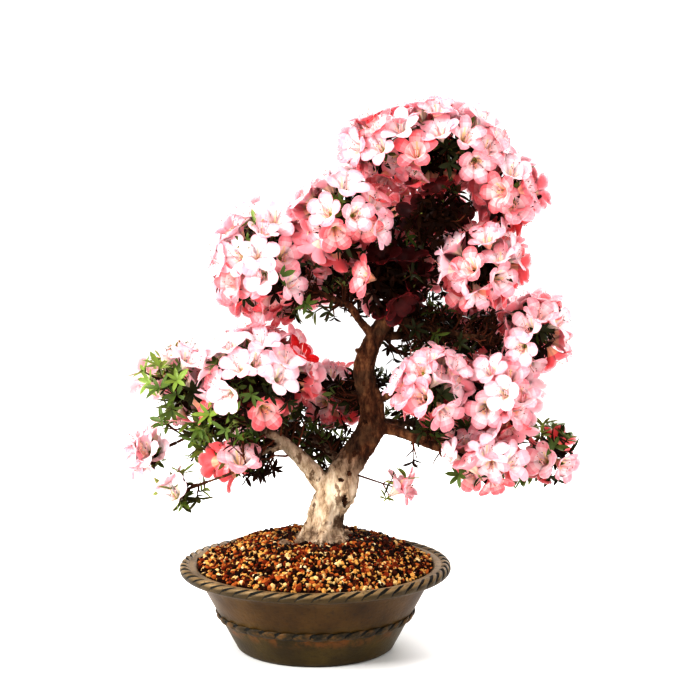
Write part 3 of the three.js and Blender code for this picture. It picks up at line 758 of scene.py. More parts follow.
def glaze_material():
    """Brown glaze, more olive at the foot, with rust under the band, a grey rim and a worn lip."""
    n = Nodes("stoneware_glaze")
    cloud = n.noise(16, 5, 0.6)
    speck = n.noise(190, 4, 0.7)
    blots = n.noise(48, 4, 0.6)
    warm = n.ramp(cloud, (0.32, (58, 37, 9)), (0.5, (73, 49, 13)), (0.7, (88, 62, 22)))
    olive = n.ramp(cloud, (0.32, (50, 37, 8)), (0.5, (64, 49, 12)), (0.7, (80, 63, 20)))
    wall = n.mix(n.between(n.height(), 0.064, 0.04), warm, olive)
    rust = n.ramp(blots, (0.45, 0.0), (0.6, 0.8))
    rust = n.mix(n.between(n.height(), 0.026, 0.035), (0, 0, 0), rust)
    rust = n.mix(n.between(n.height(), 0.047, 0.041), (0, 0, 0), rust)
    wall = n.mix(rust, wall, (112, 68, 24))
    rim = n.ramp(cloud, (0.34, (50, 39, 19)), (0.66, (86, 68, 38)))
    wall = n.mix(n.between(n.height(), 0.099, 0.104), wall, rim)
    worn = n.ramp(cloud, (0.34, (104, 84, 54)), (0.66, (150, 126, 90)))
    wall = n.mix(n.between(n.height(), 0.1085, 0.112), wall, worn)
    colour = n.mix(n.ramp(speck, (0.34, 0.5), (0.45, 0.0)), wall, (40, 28, 14))
    n.bump(n.noise(240, 4, 0.6), 0.0005)
    rough = n.ramp(cloud, (0.3, 0.46), (0.7, 0.34))
    return n.finish(Base_Color=colour, Roughness=rough, Specular_IOR_Level=0.25)


def glaze_olive_material():
    colours = ((0.38, (32, 26, 14)), (0.5, (62, 48, 24)), (0.62, (98, 70, 34)))
    return clouded_material("glaze_on_band", (60, 5, 0.65), colours, ((0.3, 0.55), (0.7, 0.42)), 0.25)


# Painted shade: the near-black that fills the rope's grooves and the band's dimples.
def hollow_shade_material():
    colours = ((0.35, (10, 9, 7)), (0.68, (40, 36, 26)))
    return clouded_material("painted_shade_in_hollows", (120, 4), colours, ((0.3, 0.55), (0.7, 0.7)), 0.25)


def mould_material():
    colours = ((0.35, (22, 9, 4)), (0.65, (58, 26, 12)))
    return clouded_material("dark_soil", (420, 5, 0.7), colours, 0.95, 0.1, (420, 5, 0.7, 0.002))


def floor_material():
    return clouded_material("pale_floor", (3, 3), ((0.3, (246, 246, 245)), (0.7, (250, 250, 249))), 0.9)


# Limbs


def trunk_radius(share, angle, length):
    taper = TRUNK.tip_radius + (TRUNK.foot_radius - TRUNK.tip_radius) * (1 - share) ** TRUNK.taper_power
    swell = 1 + TRUNK.buttress_depth * np.cos(TRUNK.buttresses * angle)
    return taper + TRUNK.flare * swell * np.exp(-share * length / TRUNK.flare_height)


def limb_lines():
    """Every limb as its path and its radius at a share of its length."""
    trunk = Path(smooth_points(TRUNK.path))
    lines = {"trunk": (trunk, lambda share: trunk_radius(share, 0, trunk.length))}
    for name, (points, root, tip) in BOUGHS.items():
        lines[name] = (Path(smooth_points(points)), lambda share, a=root, b=tip: a + (b - a) * share)
    return lines


def limb_beads(lines, spacing=3):
    """Points with a radius along every limb, as rows of x, y, z and radius."""
    rows = []
    for path, radius_at in lines.values():
        shares = np.linspace(0, 1, math.ceil(path.length / spacing) + 1)
        rows.append(np.column_stack([path.at(shares), radius_at(shares)]))
    return np.vstack(rows)


# Foliage: the part's growth rule


def seeded_random(seed):
    """A linear congruential generator that gives the part's own numbers."""
    state = seed
    while True:
        state = state * 48271 % 2147483647
        yield state / 2147483647


def reach_along(reach, direction):
    return 1 / np.linalg.norm(direction / reach)


def space_of(name):
    """A mass's ellipsoid, with a flat cut towards each neighbour that it meets."""
    origin, share, centre, reach, kind = MASSES[name]
    centre, reach = np.array(centre, float), np.array(reach, float)
    normals, distances = [], []
    for other, (_, _, their_centre, their_reach, _) in MASSES.items():
        if other == name:
            continue
        normal = np.array(their_centre, float) - centre
        apart = np.linalg.norm(normal)
        normal /= apart
        own = reach_along(reach, normal)
        theirs = reach_along(np.array(their_reach, float), normal)
        if own + theirs > apart:
            normals.append(normal)
            distances.append(apart * own / (own + theirs) - GROWTH.gap)
    cuts = np.array(normals).reshape(-1, 3)
    return Values(
        name=name, origin=origin, share=share, centre=centre, reach=reach, kind=kind,
        normals=cuts, distances=np.array(distances),
    )


def holds(space, points, own):
    """Whether a mass's ellipsoid holds the points, on its `own` side of the cuts if that is asked."""
    offsets = points - space.centre
    if np.any(np.linalg.norm(offsets / space.reach, axis=1) > 1):
        return False
    return not own or bool(np.all(offsets @ space.normals.T < space.distances))


def clear_of_limbs(beads, points, margin):
    apart = np.linalg.norm(points[:, None] - beads[None, :, :3], axis=2)
    return bool(np.all(apart > beads[None, :, 3] + margin))


def star_corners(kind, base, facing, size):
    """Points round a blossom or a whorl of leaves that show whether it has room."""
    star = STARS[kind]
    side, other = across(facing)
    turns = (TURN / star.points * (np.arange(star.points)[:, None] + star.turns))[..., None]
    spokes = np.cos(turns) * side + np.sin(turns) * other
    out = star.radius * np.array(star.outs)[:, None]
    lift = star.length * np.array(star.lifts)[:, None]
    return (base + size * (out * spokes + lift * facing)).reshape(-1, 3)


def shell_points(space, random, area, jitter, own):
    """Directions spread evenly over a mass's shell, each with the way a blossom there faces."""
    x, y, z = space.reach
    shell = 2 * TURN * (x * y + y * z + z * x) * GROWTH.shell_depth**2 / 3
    count = round(shell / area)
    spin = TURN * next(random)
    points = []
    for i in range(count):
        height = 1 - 2 * (i + 0.5) / count
        turn = i * GOLDEN_ANGLE + spin
        ring = math.sqrt(1 - height * height)
        direction = np.array([ring * math.cos(turn), ring * math.sin(turn), height])
        wobble = np.array([next(random) - 0.5 for _ in range(3)])
        facing = unit(direction / space.reach) + GROWTH.skyward * UP + jitter * wobble
        upper = GROWTH.bloom_share if height > GROWTH.under_side else GROWTH.under_bloom_share
        share = GROWTH.leafy_bloom_share if space.kind == "leafy" and own else upper
        blooms = next(random) < (share if own else share * BLOOM.get(space.name, 1))
        points.append(Values(direction=direction, facing=unit(facing), blooms=blooms))
    return points


def drawn_back(space, direction):
    """How far finer growth stays inside a mass's outline along a direction."""
    side, share = SIDES.get(space.name, (UP, None))
    if share is not None and np.dot(direction, side) > SIDE_WIDTH:
        return share
    outline = Vector(space.centre + direction * space.reach)
    return RAGGED * max(0, 0.25 + noise.noise(outline / RAGGED_SPAN))


def hides_limb(views, place):
    """Whether a place is in front of a limb that stays in view."""
    beside = np.hypot(views[:, 0] - place[0], views[:, 2] - place[2])
    return bool(np.any((beside < views[:, 3]) & (views[:, 1] > place[1])))


def limbs_in_view(lines, spacing=4):
    """Points of the limbs that stay in view, as rows of x, y, z and the room they keep beside them."""
    rows = []
    for name, (first, last, room) in IN_VIEW.items():
        path, radius_at = lines[name]
        shares = np.linspace(first, last, math.ceil(path.length / spacing))
        rows.append(np.column_stack([path.at(shares), radius_at(shares) + room]))
    return np.vstack(rows)


def seat_of(space, beads, point, step):
    """The outermost place on a shell point's ray where a blossom or whorl keeps to the mass's space."""
    forward = STARS[step.kind].length
    depth, innermost = step.depths
    if not step.own:
        depth -= drawn_back(space, point.direction)
    while depth > innermost:
        seat = space.centre + point.direction * space.reach * depth
        base = seat - point.facing * forward * step.size
        corners = np.vstack([base, star_corners(step.kind, base, point.facing, step.size)])
        if holds(space, corners, step.own) and clear_of_limbs(beads, corners, GROWTH.star_clearance):
            return Values(seat=seat, base=base, facing=point.facing, depth=depth, direction=point.direction)
        depth -= GROWTH.depth_step
    return None


def stem_of(space, lines):
    """The stem of a mass: from its bough's tip, or the middle of the trunk, to a little past its centre."""
    path, _ = lines[space.origin]
    tip = TRUNK.tip_radius if space.origin == "trunk" else BOUGHS[space.origin][2]
    root = path.at(space.share)
    onward = space.centre - root
    heading = path.heading(1) if space.share == 1 else unit(onward)
    bend = root + heading * GROWTH.stem_bend * np.linalg.norm(onward)
    end = space.centre + onward * GROWTH.stem_reach
    t = np.linspace(0, 1, 24)[:, None]
    line = Path((1 - t) ** 2 * root + 2 * t * (1 - t) * bend + t**2 * end)
    slender = SLENDER.get(space.name, 1)
    radius = min(GROWTH.stem_share * tip, GROWTH.stem_radius)
    return line, (slender * radius, slender * GROWTH.stem_tip)


class Seats:
    """The places that blossoms and whorls have taken."""

    def __init__(self, most=20000):
        self.rows = np.full((most, 3), np.inf)
        self.count = 0

    def add(self, rows):
        rows = np.atleast_2d(rows)
        self.rows[self.count:self.count + len(rows)] = rows
        self.count += len(rows)

    def crowd(self, place, spacing):
        if self.count == 0:
            return False
        apart = self.rows[:self.count] - place
        return bool(np.min(np.einsum("ij,ij->i", apart, apart)) < spacing * spacing)


class Skeleton:
    """The joints of a mass that twigs may leave from."""

    def __init__(self):
        self.points, self.headings, self.radii = [], [], []

    def add(self, path, radii, shares):
        for share in shares:
            self.points.append(path.at(share))
            self.headings.append(path.heading(share))
            self.radii.append(radii[0] + (radii[1] - radii[0]) * share)

    def best(self, base):
        """The joint that is near `base` and grows towards it."""
        ways = base - np.array(self.points)
        lengths = np.linalg.norm(ways, axis=1)
        towards = np.sum(unit(ways) * np.array(self.headings), axis=1)
        k = int(np.argmin(lengths * (GROWTH.turn_cost - towards)))
        return self.points[k], self.headings[k], self.radii[k]


def sprout(name, seed, lines, beads):
    """A mass before its twigs: its space, its stem, and its own stream of numbers."""
    space = space_of(name)
    apart = np.linalg.norm(beads[:, :3] - space.centre, axis=1)
    near = beads[apart < space.reach.max() + GROWTH.nearby]
    stem, radii = stem_of(space, lines)
    skeleton = Skeleton()
    skeleton.add(stem, radii, [(i + 1) / GROWTH.stem_steps for i in range(GROWTH.stem_steps)])
    return Values(
        space=space, beads=near, views=limbs_in_view(lines), random=seeded_random(seed), skeleton=skeleton,
        twigs=[(stem, radii)], blossoms=[], whorls=[], points=None, points_key=None,
    )


def twig_to(mass, star, own):
    """A twig from the mass's best joint to a star's base, and its radii, or None where it has no room."""
    joint, heading, joint_radius = mass.skeleton.best(star.base)
    if np.dot(star.base - joint, heading) < GROWTH.shortest_twig:
        return None
    led = star.base - star.facing * 0.5 * np.linalg.norm(star.base - joint)
    middle = 0.5 * (0.5 * (joint + star.base) + led)
    twig = Path(smooth_points([joint, middle, star.base], 6))
    steps = twig.at(np.linspace(0, 1, 9)[1:])
    if not (holds(mass.space, steps, own) and clear_of_limbs(mass.beads, steps, GROWTH.twig_clearance)):
        return None
    root = min(GROWTH.twig_share * joint_radius, GROWTH.twig_radius)
    return twig, (root, GROWTH.taper * min(root, GROWTH.twig_tip))


def grow_step(mass, step, seats):
    """Grows one pass of twigs, each with a blossom or a whorl at its end, apart from the taken seats."""
    key = (step.area, step.jitter, step.own)
    if key != mass.points_key:
        mass.points, mass.points_key = shell_points(mass.space, mass.random, *key), key
    room = 1 if step.own else CLOSER.get((mass.space.name, step.kind), 1)
    for point in mass.points:
        if step.kind == "blossom" and not point.blooms:
            continue
        star = seat_of(mass.space, mass.beads, point, step)
        if star is None or seats.crowd(star.seat, step.spacing * room):
            continue
        if mass.space.name in HOLLOW and star.depth * -star.direction[1] > HOLLOW[mass.space.name]:
            continue
        if not step.own and hides_limb(mass.views, star.seat):
            continue
        twig = twig_to(mass, star, step.own)
        if twig is None:
            continue
        mass.skeleton.add(*twig, GROWTH.joints)
        mass.twigs.append(twig)
        star.size = step.size
        seats.add(star.seat)
        (mass.blossoms if step.kind == "blossom" else mass.whorls).append(star)


def grow_crown(lines, beads):
    """Every mass, grown by the part's own rule and then filled in finer."""
    crown = [
        sprout(name, GROWTH.first_seed + GROWTH.seed_step * i, lines, beads) for i, name in enumerate(MASSES)
    ]
    taken = Seats()
    for mass in crown:
        seats = Seats()
        for step in PASSES:
            if step.own:
                grow_step(mass, step, seats)
        taken.add(seats.rows[:seats.count])
    for step in PASSES:
        if not step.own:
            for mass in crown:
                grow_step(mass, step, taken)
    return crown


# Blossom

# A petal is a grid: rows from its foot to its tip, and columns from one edge to the other
PETAL_ROWS = np.array([0, 0.2, 0.38, 0.55, 0.72, 0.86, 0.95, 1.0])
PETAL_COLUMNS = np.array([-1, -0.74, -0.45, -0.15, 0.15, 0.45, 0.74, 1])

# A blossom's five lobes, in millimetres and in shares of a petal's length, and how they vary
FUNNEL = Values(
    sizes=(0.98, 1.12),
    spin=0.35,
    petal_spin=0.07,
    openness=(0.86, 1.06),
    petal_openness=(0.93, 1.05),
    foot_radius=1.3,
    tube_radius=5.5,
    widest=(9.4, 11.4),
    petal_widest=(0.92, 1.06),
    widest_at=0.7,
    lobe_reach=0.304,
    flatness=0.72,
    curl=(-0.4, 4.2),
    frill=0.9,
    dish=0.4,
    crease=1.1,
    crease_width=0.25,
    thickness=0.9,
)

# Where a petal's colour deepens, and how that varies. Lengths and widths are shares of the petal's own.
FLUSH = Values(
    edge=0.5,
    tip=0.86,
    petal=(-0.2, 0.16),
    blossom=(-0.08, 0.12),
    streak=0.09,
    throat=0.3,
    blotch_length=0.55,
    blotch_width=0.3,
    tube=0.42,
)


def petal_zones(count, random):
    """The colour slot of every front face: pale in the middle of each petal, deeper to its edge."""
    u = middles(PETAL_ROWS)[:, None]
    v = np.abs(middles(PETAL_COLUMNS))[None]
    depth = FLUSH.edge * v**1.3 * smooth_step(0.3, 0.7, u) + FLUSH.tip * smooth_step(0.42, 0.96, u)
    flush = random.uniform(*FLUSH.petal, (count, BLOSSOM.points, 1, 1))
    flush = flush + random.uniform(*FLUSH.blossom, (count, 1, 1, 1))
    streaks = random.uniform(-FLUSH.streak, FLUSH.streak, (count, BLOSSOM.points, 1, v.size))
    zones = np.clip((depth + flush + streaks) * GRADES, 0, GRADES - 1).astype(int)
    zones[u + 0.12 * v + streaks < FLUSH.throat] = THROAT
    blotch = (u < FLUSH.blotch_length) & (v < FLUSH.blotch_width)
    zones[:, 0, blotch] = THROAT
    return zones.ravel()


def petal_back_zones(count):
    zones = np.where(middles(PETAL_ROWS) < FLUSH.tube, TUBE, BACK)
    return np.tile(np.repeat(zones, len(PETAL_COLUMNS) - 1), count * BLOSSOM.points)


def petal_materials(tint):
    """A petal's materials: grades from heart to edge, then throat, tube and back."""
    throat, heart, edge, tube, back = (np.array(colour, float) for colour in PETAL_COLOURS[tint])
    grades = [heart + (edge - heart) * k / (GRADES - 1) for k in range(GRADES)]
    soft = {"Subsurface_Weight": 0.6, "Subsurface_Scale": 0.002, "Subsurface_Radius": (1, 1, 1)}
    return [
        plain_material(f"petal_{tint}_{k}", colour, 0.5, Specular_IOR_Level=0.2, **soft)
        for k, colour in enumerate([*grades, throat, tube, back])
    ]


def blossom_frames(stars):
    """For each blossom, the direction of its upper petal, the one across it, and the way it faces."""
    facing = rows_of(stars, "facing")
    helper = np.where(np.abs(facing[:, 2:]) < 0.93, UP, np.array([0.0, 1.0, 0.0]))
    upper = unit(helper - facing * np.sum(helper * facing, axis=1, keepdims=True))
    return upper, np.cross(facing, upper), facing


def petal_ways(stars, random):
    """For each petal, the way out from the blossom's middle and the way across the petal."""
    count, petals = len(stars), BLOSSOM.points
    upper, across_it, _ = (rows[:, None] for rows in blossom_frames(stars))
    spin = random.uniform(-FUNNEL.spin, FUNNEL.spin, (count, 1)) + TURN / petals * np.arange(petals)
    spin = spin + random.uniform(-FUNNEL.petal_spin, FUNNEL.petal_spin, (count, petals))
    cos, sin = np.cos(spin)[..., None], np.sin(spin)[..., None]
    return cos * upper + sin * across_it, cos * across_it - sin * upper


def petal_lines(count, random):
    """Each petal's middle line: how far it runs out and up, row by row, and its normal's two parts."""
    openness = random.uniform(*FUNNEL.openness, (count, 1))
    openness = openness * random.uniform(*FUNNEL.petal_openness, (count, BLOSSOM.points))
    ones = np.ones_like(openness)
    radii = [FUNNEL.foot_radius * ones, FUNNEL.tube_radius * ones, 0.5 * BLOSSOM.radius * ones]
    lifts = [0 * ones, 0.5 * ones, 0.9 * ones]
    radius_knots = np.stack([*radii, BLOSSOM.radius * openness])
    lift_knots = BLOSSOM.length * np.stack([*lifts, 1.46 - 0.6 * openness])
    u = PETAL_ROWS
    weights = np.stack([(1 - u) ** 3, 3 * u * (1 - u) ** 2, 3 * u**2 * (1 - u), u**3])
    ring = np.einsum("kcp,kr->cpr", radius_knots, weights)
    lift = np.einsum("kcp,kr->cpr", lift_knots, weights)
    slope_ring, slope_lift = np.gradient(ring, u, axis=2), np.gradient(lift, u, axis=2)
    steep = np.hypot(slope_ring, slope_lift)
    return ring, lift, -slope_lift / steep, slope_ring / steep


def petal_outlines(ring, random):
    """How far each point of the petals lies out from the blossom's axis, and aside from its petal's line."""
    count, petals, _ = ring.shape
    u = PETAL_ROWS
    widest = random.uniform(*FUNNEL.widest, (count, 1, 1))
    widest = widest * random.uniform(*FUNNEL.petal_widest, (count, petals, 1))
    lobe = widest * np.sqrt(np.clip(1 - ((u - FUNNEL.widest_at) / FUNNEL.lobe_reach) ** 2, 0.0, 1))
    throat = widest * (0.5 + 0.5 * smooth_step(0.2, FUNNEL.widest_at, u))
    half_width = np.minimum(0.86 * ring, np.where(u < FUNNEL.widest_at, throat, lobe))
    flat = half_width[..., None] * PETAL_COLUMNS
    ring = ring[..., None]
    angle = flat / ring
    wrap = (1 - FUNNEL.flatness * smooth_step(0.35, FUNNEL.widest_at, u))[:, None]
    out_by = ring * (wrap * np.cos(angle) + 1 - wrap)
    aside_by = wrap * ring * np.sin(angle) + (1 - wrap) * flat
    return out_by, aside_by


def petal_relief(count, random):
    """How far the petals' points rise from their middle lines, and how thick the blades are there."""
    u, v = PETAL_ROWS[:, None], PETAL_COLUMNS
    spread = smooth_step(0.42, 0.85, u)
    phase = random.uniform(0, TURN, (2, count, BLOSSOM.points, 1, 1))
    frill = np.sin(5.2 * u + phase[0] + 1.4 * np.sign(v)) + 0.7 * np.sin(9 * u * v + phase[1])
    curl = random.uniform(*FUNNEL.curl, (count, BLOSSOM.points, 1, 1)) * spread**2
    crease = FUNNEL.crease * np.exp(-((v / FUNNEL.crease_width) ** 2))
    rise = spread * (FUNNEL.frill * frill * v**2 + FUNNEL.dish * v**2 - crease) - curl
    return rise, FUNNEL.thickness * (1 - v**2) * np.clip(4 * u * (1 - u), 0, 1)


def add_blossoms(shape, stars, random):
    """Adds five-lobed funnels, one for each star. Each petal is a thin closed blade."""
    count = len(stars)
    base = rows_of(stars, "base")[:, None, None, None]
    facing = rows_of(stars, "facing")[:, None, None, None]
    size = rows_of(stars, "size") * random.uniform(*FUNNEL.sizes, count)
    out, aside = (rows[:, :, None, None] for rows in petal_ways(stars, random))
    ring, *rest = petal_lines(count, random)
    lift, normal_out, normal_lift = (rows[..., None] for rows in rest)
    out_by, aside_by = petal_outlines(ring, random)
    rise, thick = petal_relief(count, random)
    quads = grid_quads(len(PETAL_ROWS), len(PETAL_COLUMNS))
    front = (rise, quads, petal_zones(count, random))
    back = (rise - thick, quads[:, ::-1], petal_back_zones(count))
    for offset, faces, zones in (front, back):
        place_out = (out_by + normal_out * offset)[..., None]
        place_lift = (lift + normal_lift * offset)[..., None]
        points = place_out * out + aside_by[..., None] * aside + place_lift * facing
        points = base + size[:, None, None, None, None] * points
        shape.add(points, repeated(faces, count * BLOSSOM.points, rise[0, 0].size), zones)


# A blossom's tuft of stamens, the first of them the longer style, and the anthers at their ends
STAMENS = Values(
    tuft=5,
    reach=(3, 8),
    length=(24, 31),
    style_reach=4,
    style_length=34,
    rings=4,
    first_ring=0.2,
    sag=5,
    upturn=3,
    radii=(0.5, 0.36),
    sides=3,
    anther_half=1.1,
    anther_radii=(0.3, 0.6, 0.3),
    anther_tilt=0.5,
)
FILAMENT, ANTHER, STYLE = range(len(STAMEN_COLOURS))


def add_stamens(shape, stars, random):
    """Adds a tuft of curved stamens with dark anthers, and one longer style, to each blossom."""
    count, tuft = len(stars), STAMENS.tuft
    upper, across_it, facing = (rows[:, None, None] for rows in blossom_frames(stars))
    turn = (TURN * (np.arange(tuft) + random.uniform(0, 1, (count, tuft))) / tuft)[..., None]
    reach = random.uniform(*STAMENS.reach, (count, tuft))
    length = random.uniform(*STAMENS.length, (count, tuft))
    reach[:, 0] = STAMENS.style_reach
    length[:, 0] = STAMENS.style_length
    t = np.linspace(STAMENS.first_ring, 1, STAMENS.rings)
    out = reach[..., None] * t**1.6
    sag = STAMENS.upturn * t**3 - STAMENS.sag * np.sin(math.pi * t)
    line = (
        (out * np.cos(turn) + sag)[..., None] * upper
        + (out * np.sin(turn))[..., None] * across_it
        + (length[..., None] * t)[..., None] * facing
    )
    paths = rows_of(stars, "base")[:, None, None] + rows_of(stars, "size")[:, None, None, None] * line
    paths = paths.reshape(-1, len(t), 3)
    radii = np.broadcast_to(np.linspace(*STAMENS.radii, len(t)), paths.shape[:2])
    is_style = np.tile(np.arange(tuft) == 0, count)
    add_tubes(shape, paths, radii, STAMENS.sides, np.where(is_style, STYLE, FILAMENT))

    ends = paths[:, -1:]
    heading = np.repeat(facing[:, 0], tuft, axis=0)
    heading = unit(heading + random.normal(0, STAMENS.anther_tilt, (len(ends), 1, 3)))
    radii = np.tile(STAMENS.anther_radii, (len(ends), 1))
    span = np.linspace(-STAMENS.anther_half, STAMENS.anther_half, radii.shape[1])[:, None]
    add_tubes(shape, ends + heading * span, radii, STAMENS.sides, np.where(is_style, STYLE, ANTHER))


# Leaves and twigs

# A leaf is a grid, too. What varies from leaf to leaf is given as a share of its length or half width.
LEAF = Values(
    rows=np.array([0, 0.2, 0.48, 0.76, 1.0]),
    widths=np.array([0.16, 0.7, 1.0, 0.8, 0.05]),
    columns=np.array([-1.0, 0.0, 1.0]),
    broad=(0.13, 0.185),
    droop=(-0.05, 0.32),
    fold=(0.1, 0.5),
    thickness=0.035,
    lengths=(0.7, 1.1),
    seat=(-4, 2),
    turn=0.2,
    tilt=0.25,
)

# Leaves round a blossom's stalk, at a twig's end and along a shoot: how many, how long, and how they rise
COLLAR = Values(leaves=4, length=18, rise=0.1, drop=4)
TUFT = Values(leaves=(5, 8), length=20, lit_length=23, rise=0.5)
# A shoot's leaves take brighter tints in full light and darker ones elsewhere, as painted light and shade.
SPRAY = Values(
    leaves=(4, 7), length=18, lit_length=22, rise=0.6,
    tints=("green", "deep", "dark", "dark"), lit_tints=("spring", "green"),
)

# Side twigs of a bough and their forks: which way they go, how they bend, and their radii at root and tip
SHOOT = Values(
    onward=0.5,
    rise=0.15,
    lengths=(0.5, 1.0),
    bend=0.07,
    lift=0.2,
    stray=0.25,
    radii=(1.9, 0.8),
    forks=(2, 5),
    fork_shares=(0.3, 0.9),
    fork_stray=0.55,
    fork_length=(12, 24),
    fork_bend=0.8,
    fork_radii=(1.0, 0.6),
)

# A blossom's stalk and calyx: the places of their rings along the way the blossom faces, and their radii
STALK = Values(rings=(-9, -2, 1.5, 4), radii=(0.9, 1.1, 2.1, 2.3))

TWIG_SIDES = 5
BROWN, RUSSET, GREEN = range(len(TWIG_COLOURS))

# Buds: their length, the place and radius of each ring, and the rings of the scales, the side and the tip
BUD = Values(
    length=(15, 22),
    rings=np.array([0, 0.18, 0.4, 0.62, 0.84, 1.0]),
    radii=np.array([0.9, 2.5, 3.2, 3.0, 1.9, 0.3]),
    zones=(slice(0, 2), slice(1, 4), slice(3, 6)),
    sides=6,
    tilt=0.25,
    outside=0.7,
    share=0.06,
)


def add_leaves(shape, leaves, random):
    """Adds folded leaves from rows of base, heading, upper side and length. Each is a thin closed blade."""
    base, heading, upper, length = (np.array(column) for column in zip(*leaves))
    heading = unit(heading)
    aside = unit(np.cross(heading, upper))
    upper = np.cross(aside, heading)
    base, heading, aside, upper = (rows[:, None, None] for rows in (base, heading, aside, upper))
    count = len(leaves)
    length = length[:, None]
    u, v = LEAF.rows, LEAF.columns
    half_width = (length * random.uniform(*LEAF.broad, (count, 1)) * LEAF.widths)[..., None]
    droop = random.uniform(*LEAF.droop, (count, 1)) * length * u**2
    fold = random.uniform(*LEAF.fold, (count, 1, 1)) * half_width * np.abs(v)
    thick = LEAF.thickness * length[..., None] * np.sin(math.pi * u)[:, None] * (1 - v**2)
    along = (length * u)[..., None, None] * heading
    across_it = (half_width * v)[..., None] * aside
    quads = grid_quads(len(u), len(v))
    for slot, (offset, faces) in enumerate(((fold, quads), (fold - thick, quads[:, ::-1]))):
        lift = offset - droop[..., None]
        points = base + along + across_it + lift[..., None] * upper
        shape.add(points, repeated(faces, count, len(u) * len(v)), slot)


def whorl_leaves(base, facing, count, length, rise, random):
    """The leaves of one whorl, as add_leaves takes them."""
    side, other = across(facing)
    spin = random.uniform(0, TURN)
    leaves = []
    for k in range(count):
        turn = spin + TURN * (k + random.uniform(-LEAF.turn, LEAF.turn)) / count
        spoke = math.cos(turn) * side + math.sin(turn) * other
        tilt = rise + random.uniform(-LEAF.tilt, LEAF.tilt)
        heading = math.cos(tilt) * spoke + math.sin(tilt) * facing
        upper = math.cos(tilt) * facing - math.sin(tilt) * spoke
        start = base + facing * random.uniform(*LEAF.seat)
        leaves.append((start, heading, upper, length * random.uniform(*LEAF.lengths)))
    return leaves


def add_twigs(shape, twigs, random, rings=7):
    """Adds twigs in two browns, both darkened as painted shade. The first one, a mass's stem, is always of
    the darker brown.
    """
    shares = np.linspace(0, 1, rings)
    paths = np.array([path.at(shares) for path, _ in twigs])
    radii = np.array([root + (tip - root) * shares for _, (root, tip) in twigs])
    slots = random.choice([BROWN, BROWN, RUSSET], len(twigs))
    slots[0] = BROWN
    add_tubes(shape, paths, radii, TWIG_SIDES, slots)


def shoot_from(path, share, reach, random):
    """A bent side twig of a bough."""
    root, along = path.at(share), path.heading(share)
    side, other = across(along)
    turn = random.uniform(0, TURN)
    outward = math.cos(turn) * side + math.sin(turn) * other
    way = unit(outward + SHOOT.onward * along + SHOOT.rise * UP)
    length = reach * random.uniform(*SHOOT.lengths)
    middle = root + 0.5 * length * way + random.normal(0, SHOOT.bend, 3) * length
    end = root + length * unit(way + SHOOT.lift * UP + random.normal(0, SHOOT.stray, 3))
    return Path(smooth_points([root, middle, end], 6))


def forks_of(twig, random):
    """Smaller twigs of a shoot, one after another, each with the way it leans."""
    for share in random.uniform(*SHOOT.fork_shares, random.integers(*SHOOT.forks)):
        start = twig.at(share)
        lean = unit(twig.heading(share) + random.normal(0, SHOOT.fork_stray, 3))
        tip = start + lean * random.uniform(*SHOOT.fork_length)
        middle = 0.5 * (start + tip) + random.normal(0, SHOOT.fork_bend, 3)
        yield Path(np.array([start, middle, tip])), lean


def grow_shoots(lines, random):
    """Short forked twigs along the boughs, and the whorls on them: a bough, a place and a heading each."""
    twigs, whorls = [], []
    views = limbs_in_view(lines)
    for name, (first, last, count, reach, leafy) in SHOOTS.items():
        path, radius_at = lines[name]
        for share in random.uniform(first, last, count):
            twig = shoot_from(path, share, reach, random)
            end = twig.points[-1]
            if hides_limb(views, end):
                continue
            root_radius, tip_radius = SHOOT.radii
            twigs.append((twig, (min(root_radius, 0.5 * radius_at(share)), tip_radius)))
            if random.uniform() < leafy:
                whorls.append((name, end, twig.heading(1)))
            for fork, lean in forks_of(twig, random):
                tip = fork.points[-1]
                twigs.append((fork, SHOOT.fork_radii))
                if random.uniform() < leafy and not hides_limb(views, tip):
                    whorls.append((name, tip, lean))
    return twigs, whorls


def add_stalks(shape, stars):
    """Adds the green stalk and calyx under each blossom."""
    facing = rows_of(stars, "facing")[:, None]
    paths = rows_of(stars, "base")[:, None] + np.array(STALK.rings)[:, None] * facing
    radii = np.tile(STALK.radii, (len(stars), 1))
    add_tubes(shape, paths, radii, TWIG_SIDES, GREEN)


def add_buds(shape, stars, random):
    """Adds pointed buds, from yellow scales at the foot to a deep tip, in the middle of some whorls."""
    base = rows_of(stars, "base")
    way = unit(rows_of(stars, "facing") + random.normal(0, BUD.tilt, base.shape))
    length = random.uniform(*BUD.length, (len(stars), 1))
    paths = base[:, None] + (length * BUD.rings)[..., None] * way[:, None]
    for slot, zone in enumerate(BUD.zones):
        add_tubes(shape, paths[:, zone], np.tile(BUD.radii[zone], (len(stars), 1)), BUD.sides, slot)


# Bark


def dressed(piece, slot, *nodes):
    """Makes a piece part of the plant, in place of the nodes that are named. The slot is not used."""
    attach(piece, "root")
    if nodes:
        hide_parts(*nodes)


def add_trunk(shape, trunk):
    """Adds the fluted trunk, level where it flares out and sunk a little into the soil."""
    shares = np.linspace(0, 1, BARK.trunk_rings)
    level = np.exp(-shares * trunk.length / TRUNK.flare_height)[:, None]
    along = np.array([trunk.heading(share) for share in shares])
    along = unit(along * (1 - level) + UP * level)
    angles = np.arange(BARK.trunk_sides) * TURN / BARK.trunk_sides
    shares = shares[:, None]
    flute = 1 + sum(depth * np.cos(count * angles + turn * shares) for depth, count, turn in FLUTES)
    radii = trunk_radius(shares, angles, trunk.length) * flute
    path = trunk.at(shares[:, 0])
    path, along, radii = (np.vstack([rows[:1], rows]) for rows in (path, along, radii))
    path[0] -= BARK.sunk * UP
    add_tubes(shape, path[None], radii[None], BARK.trunk_sides, along=along[None])


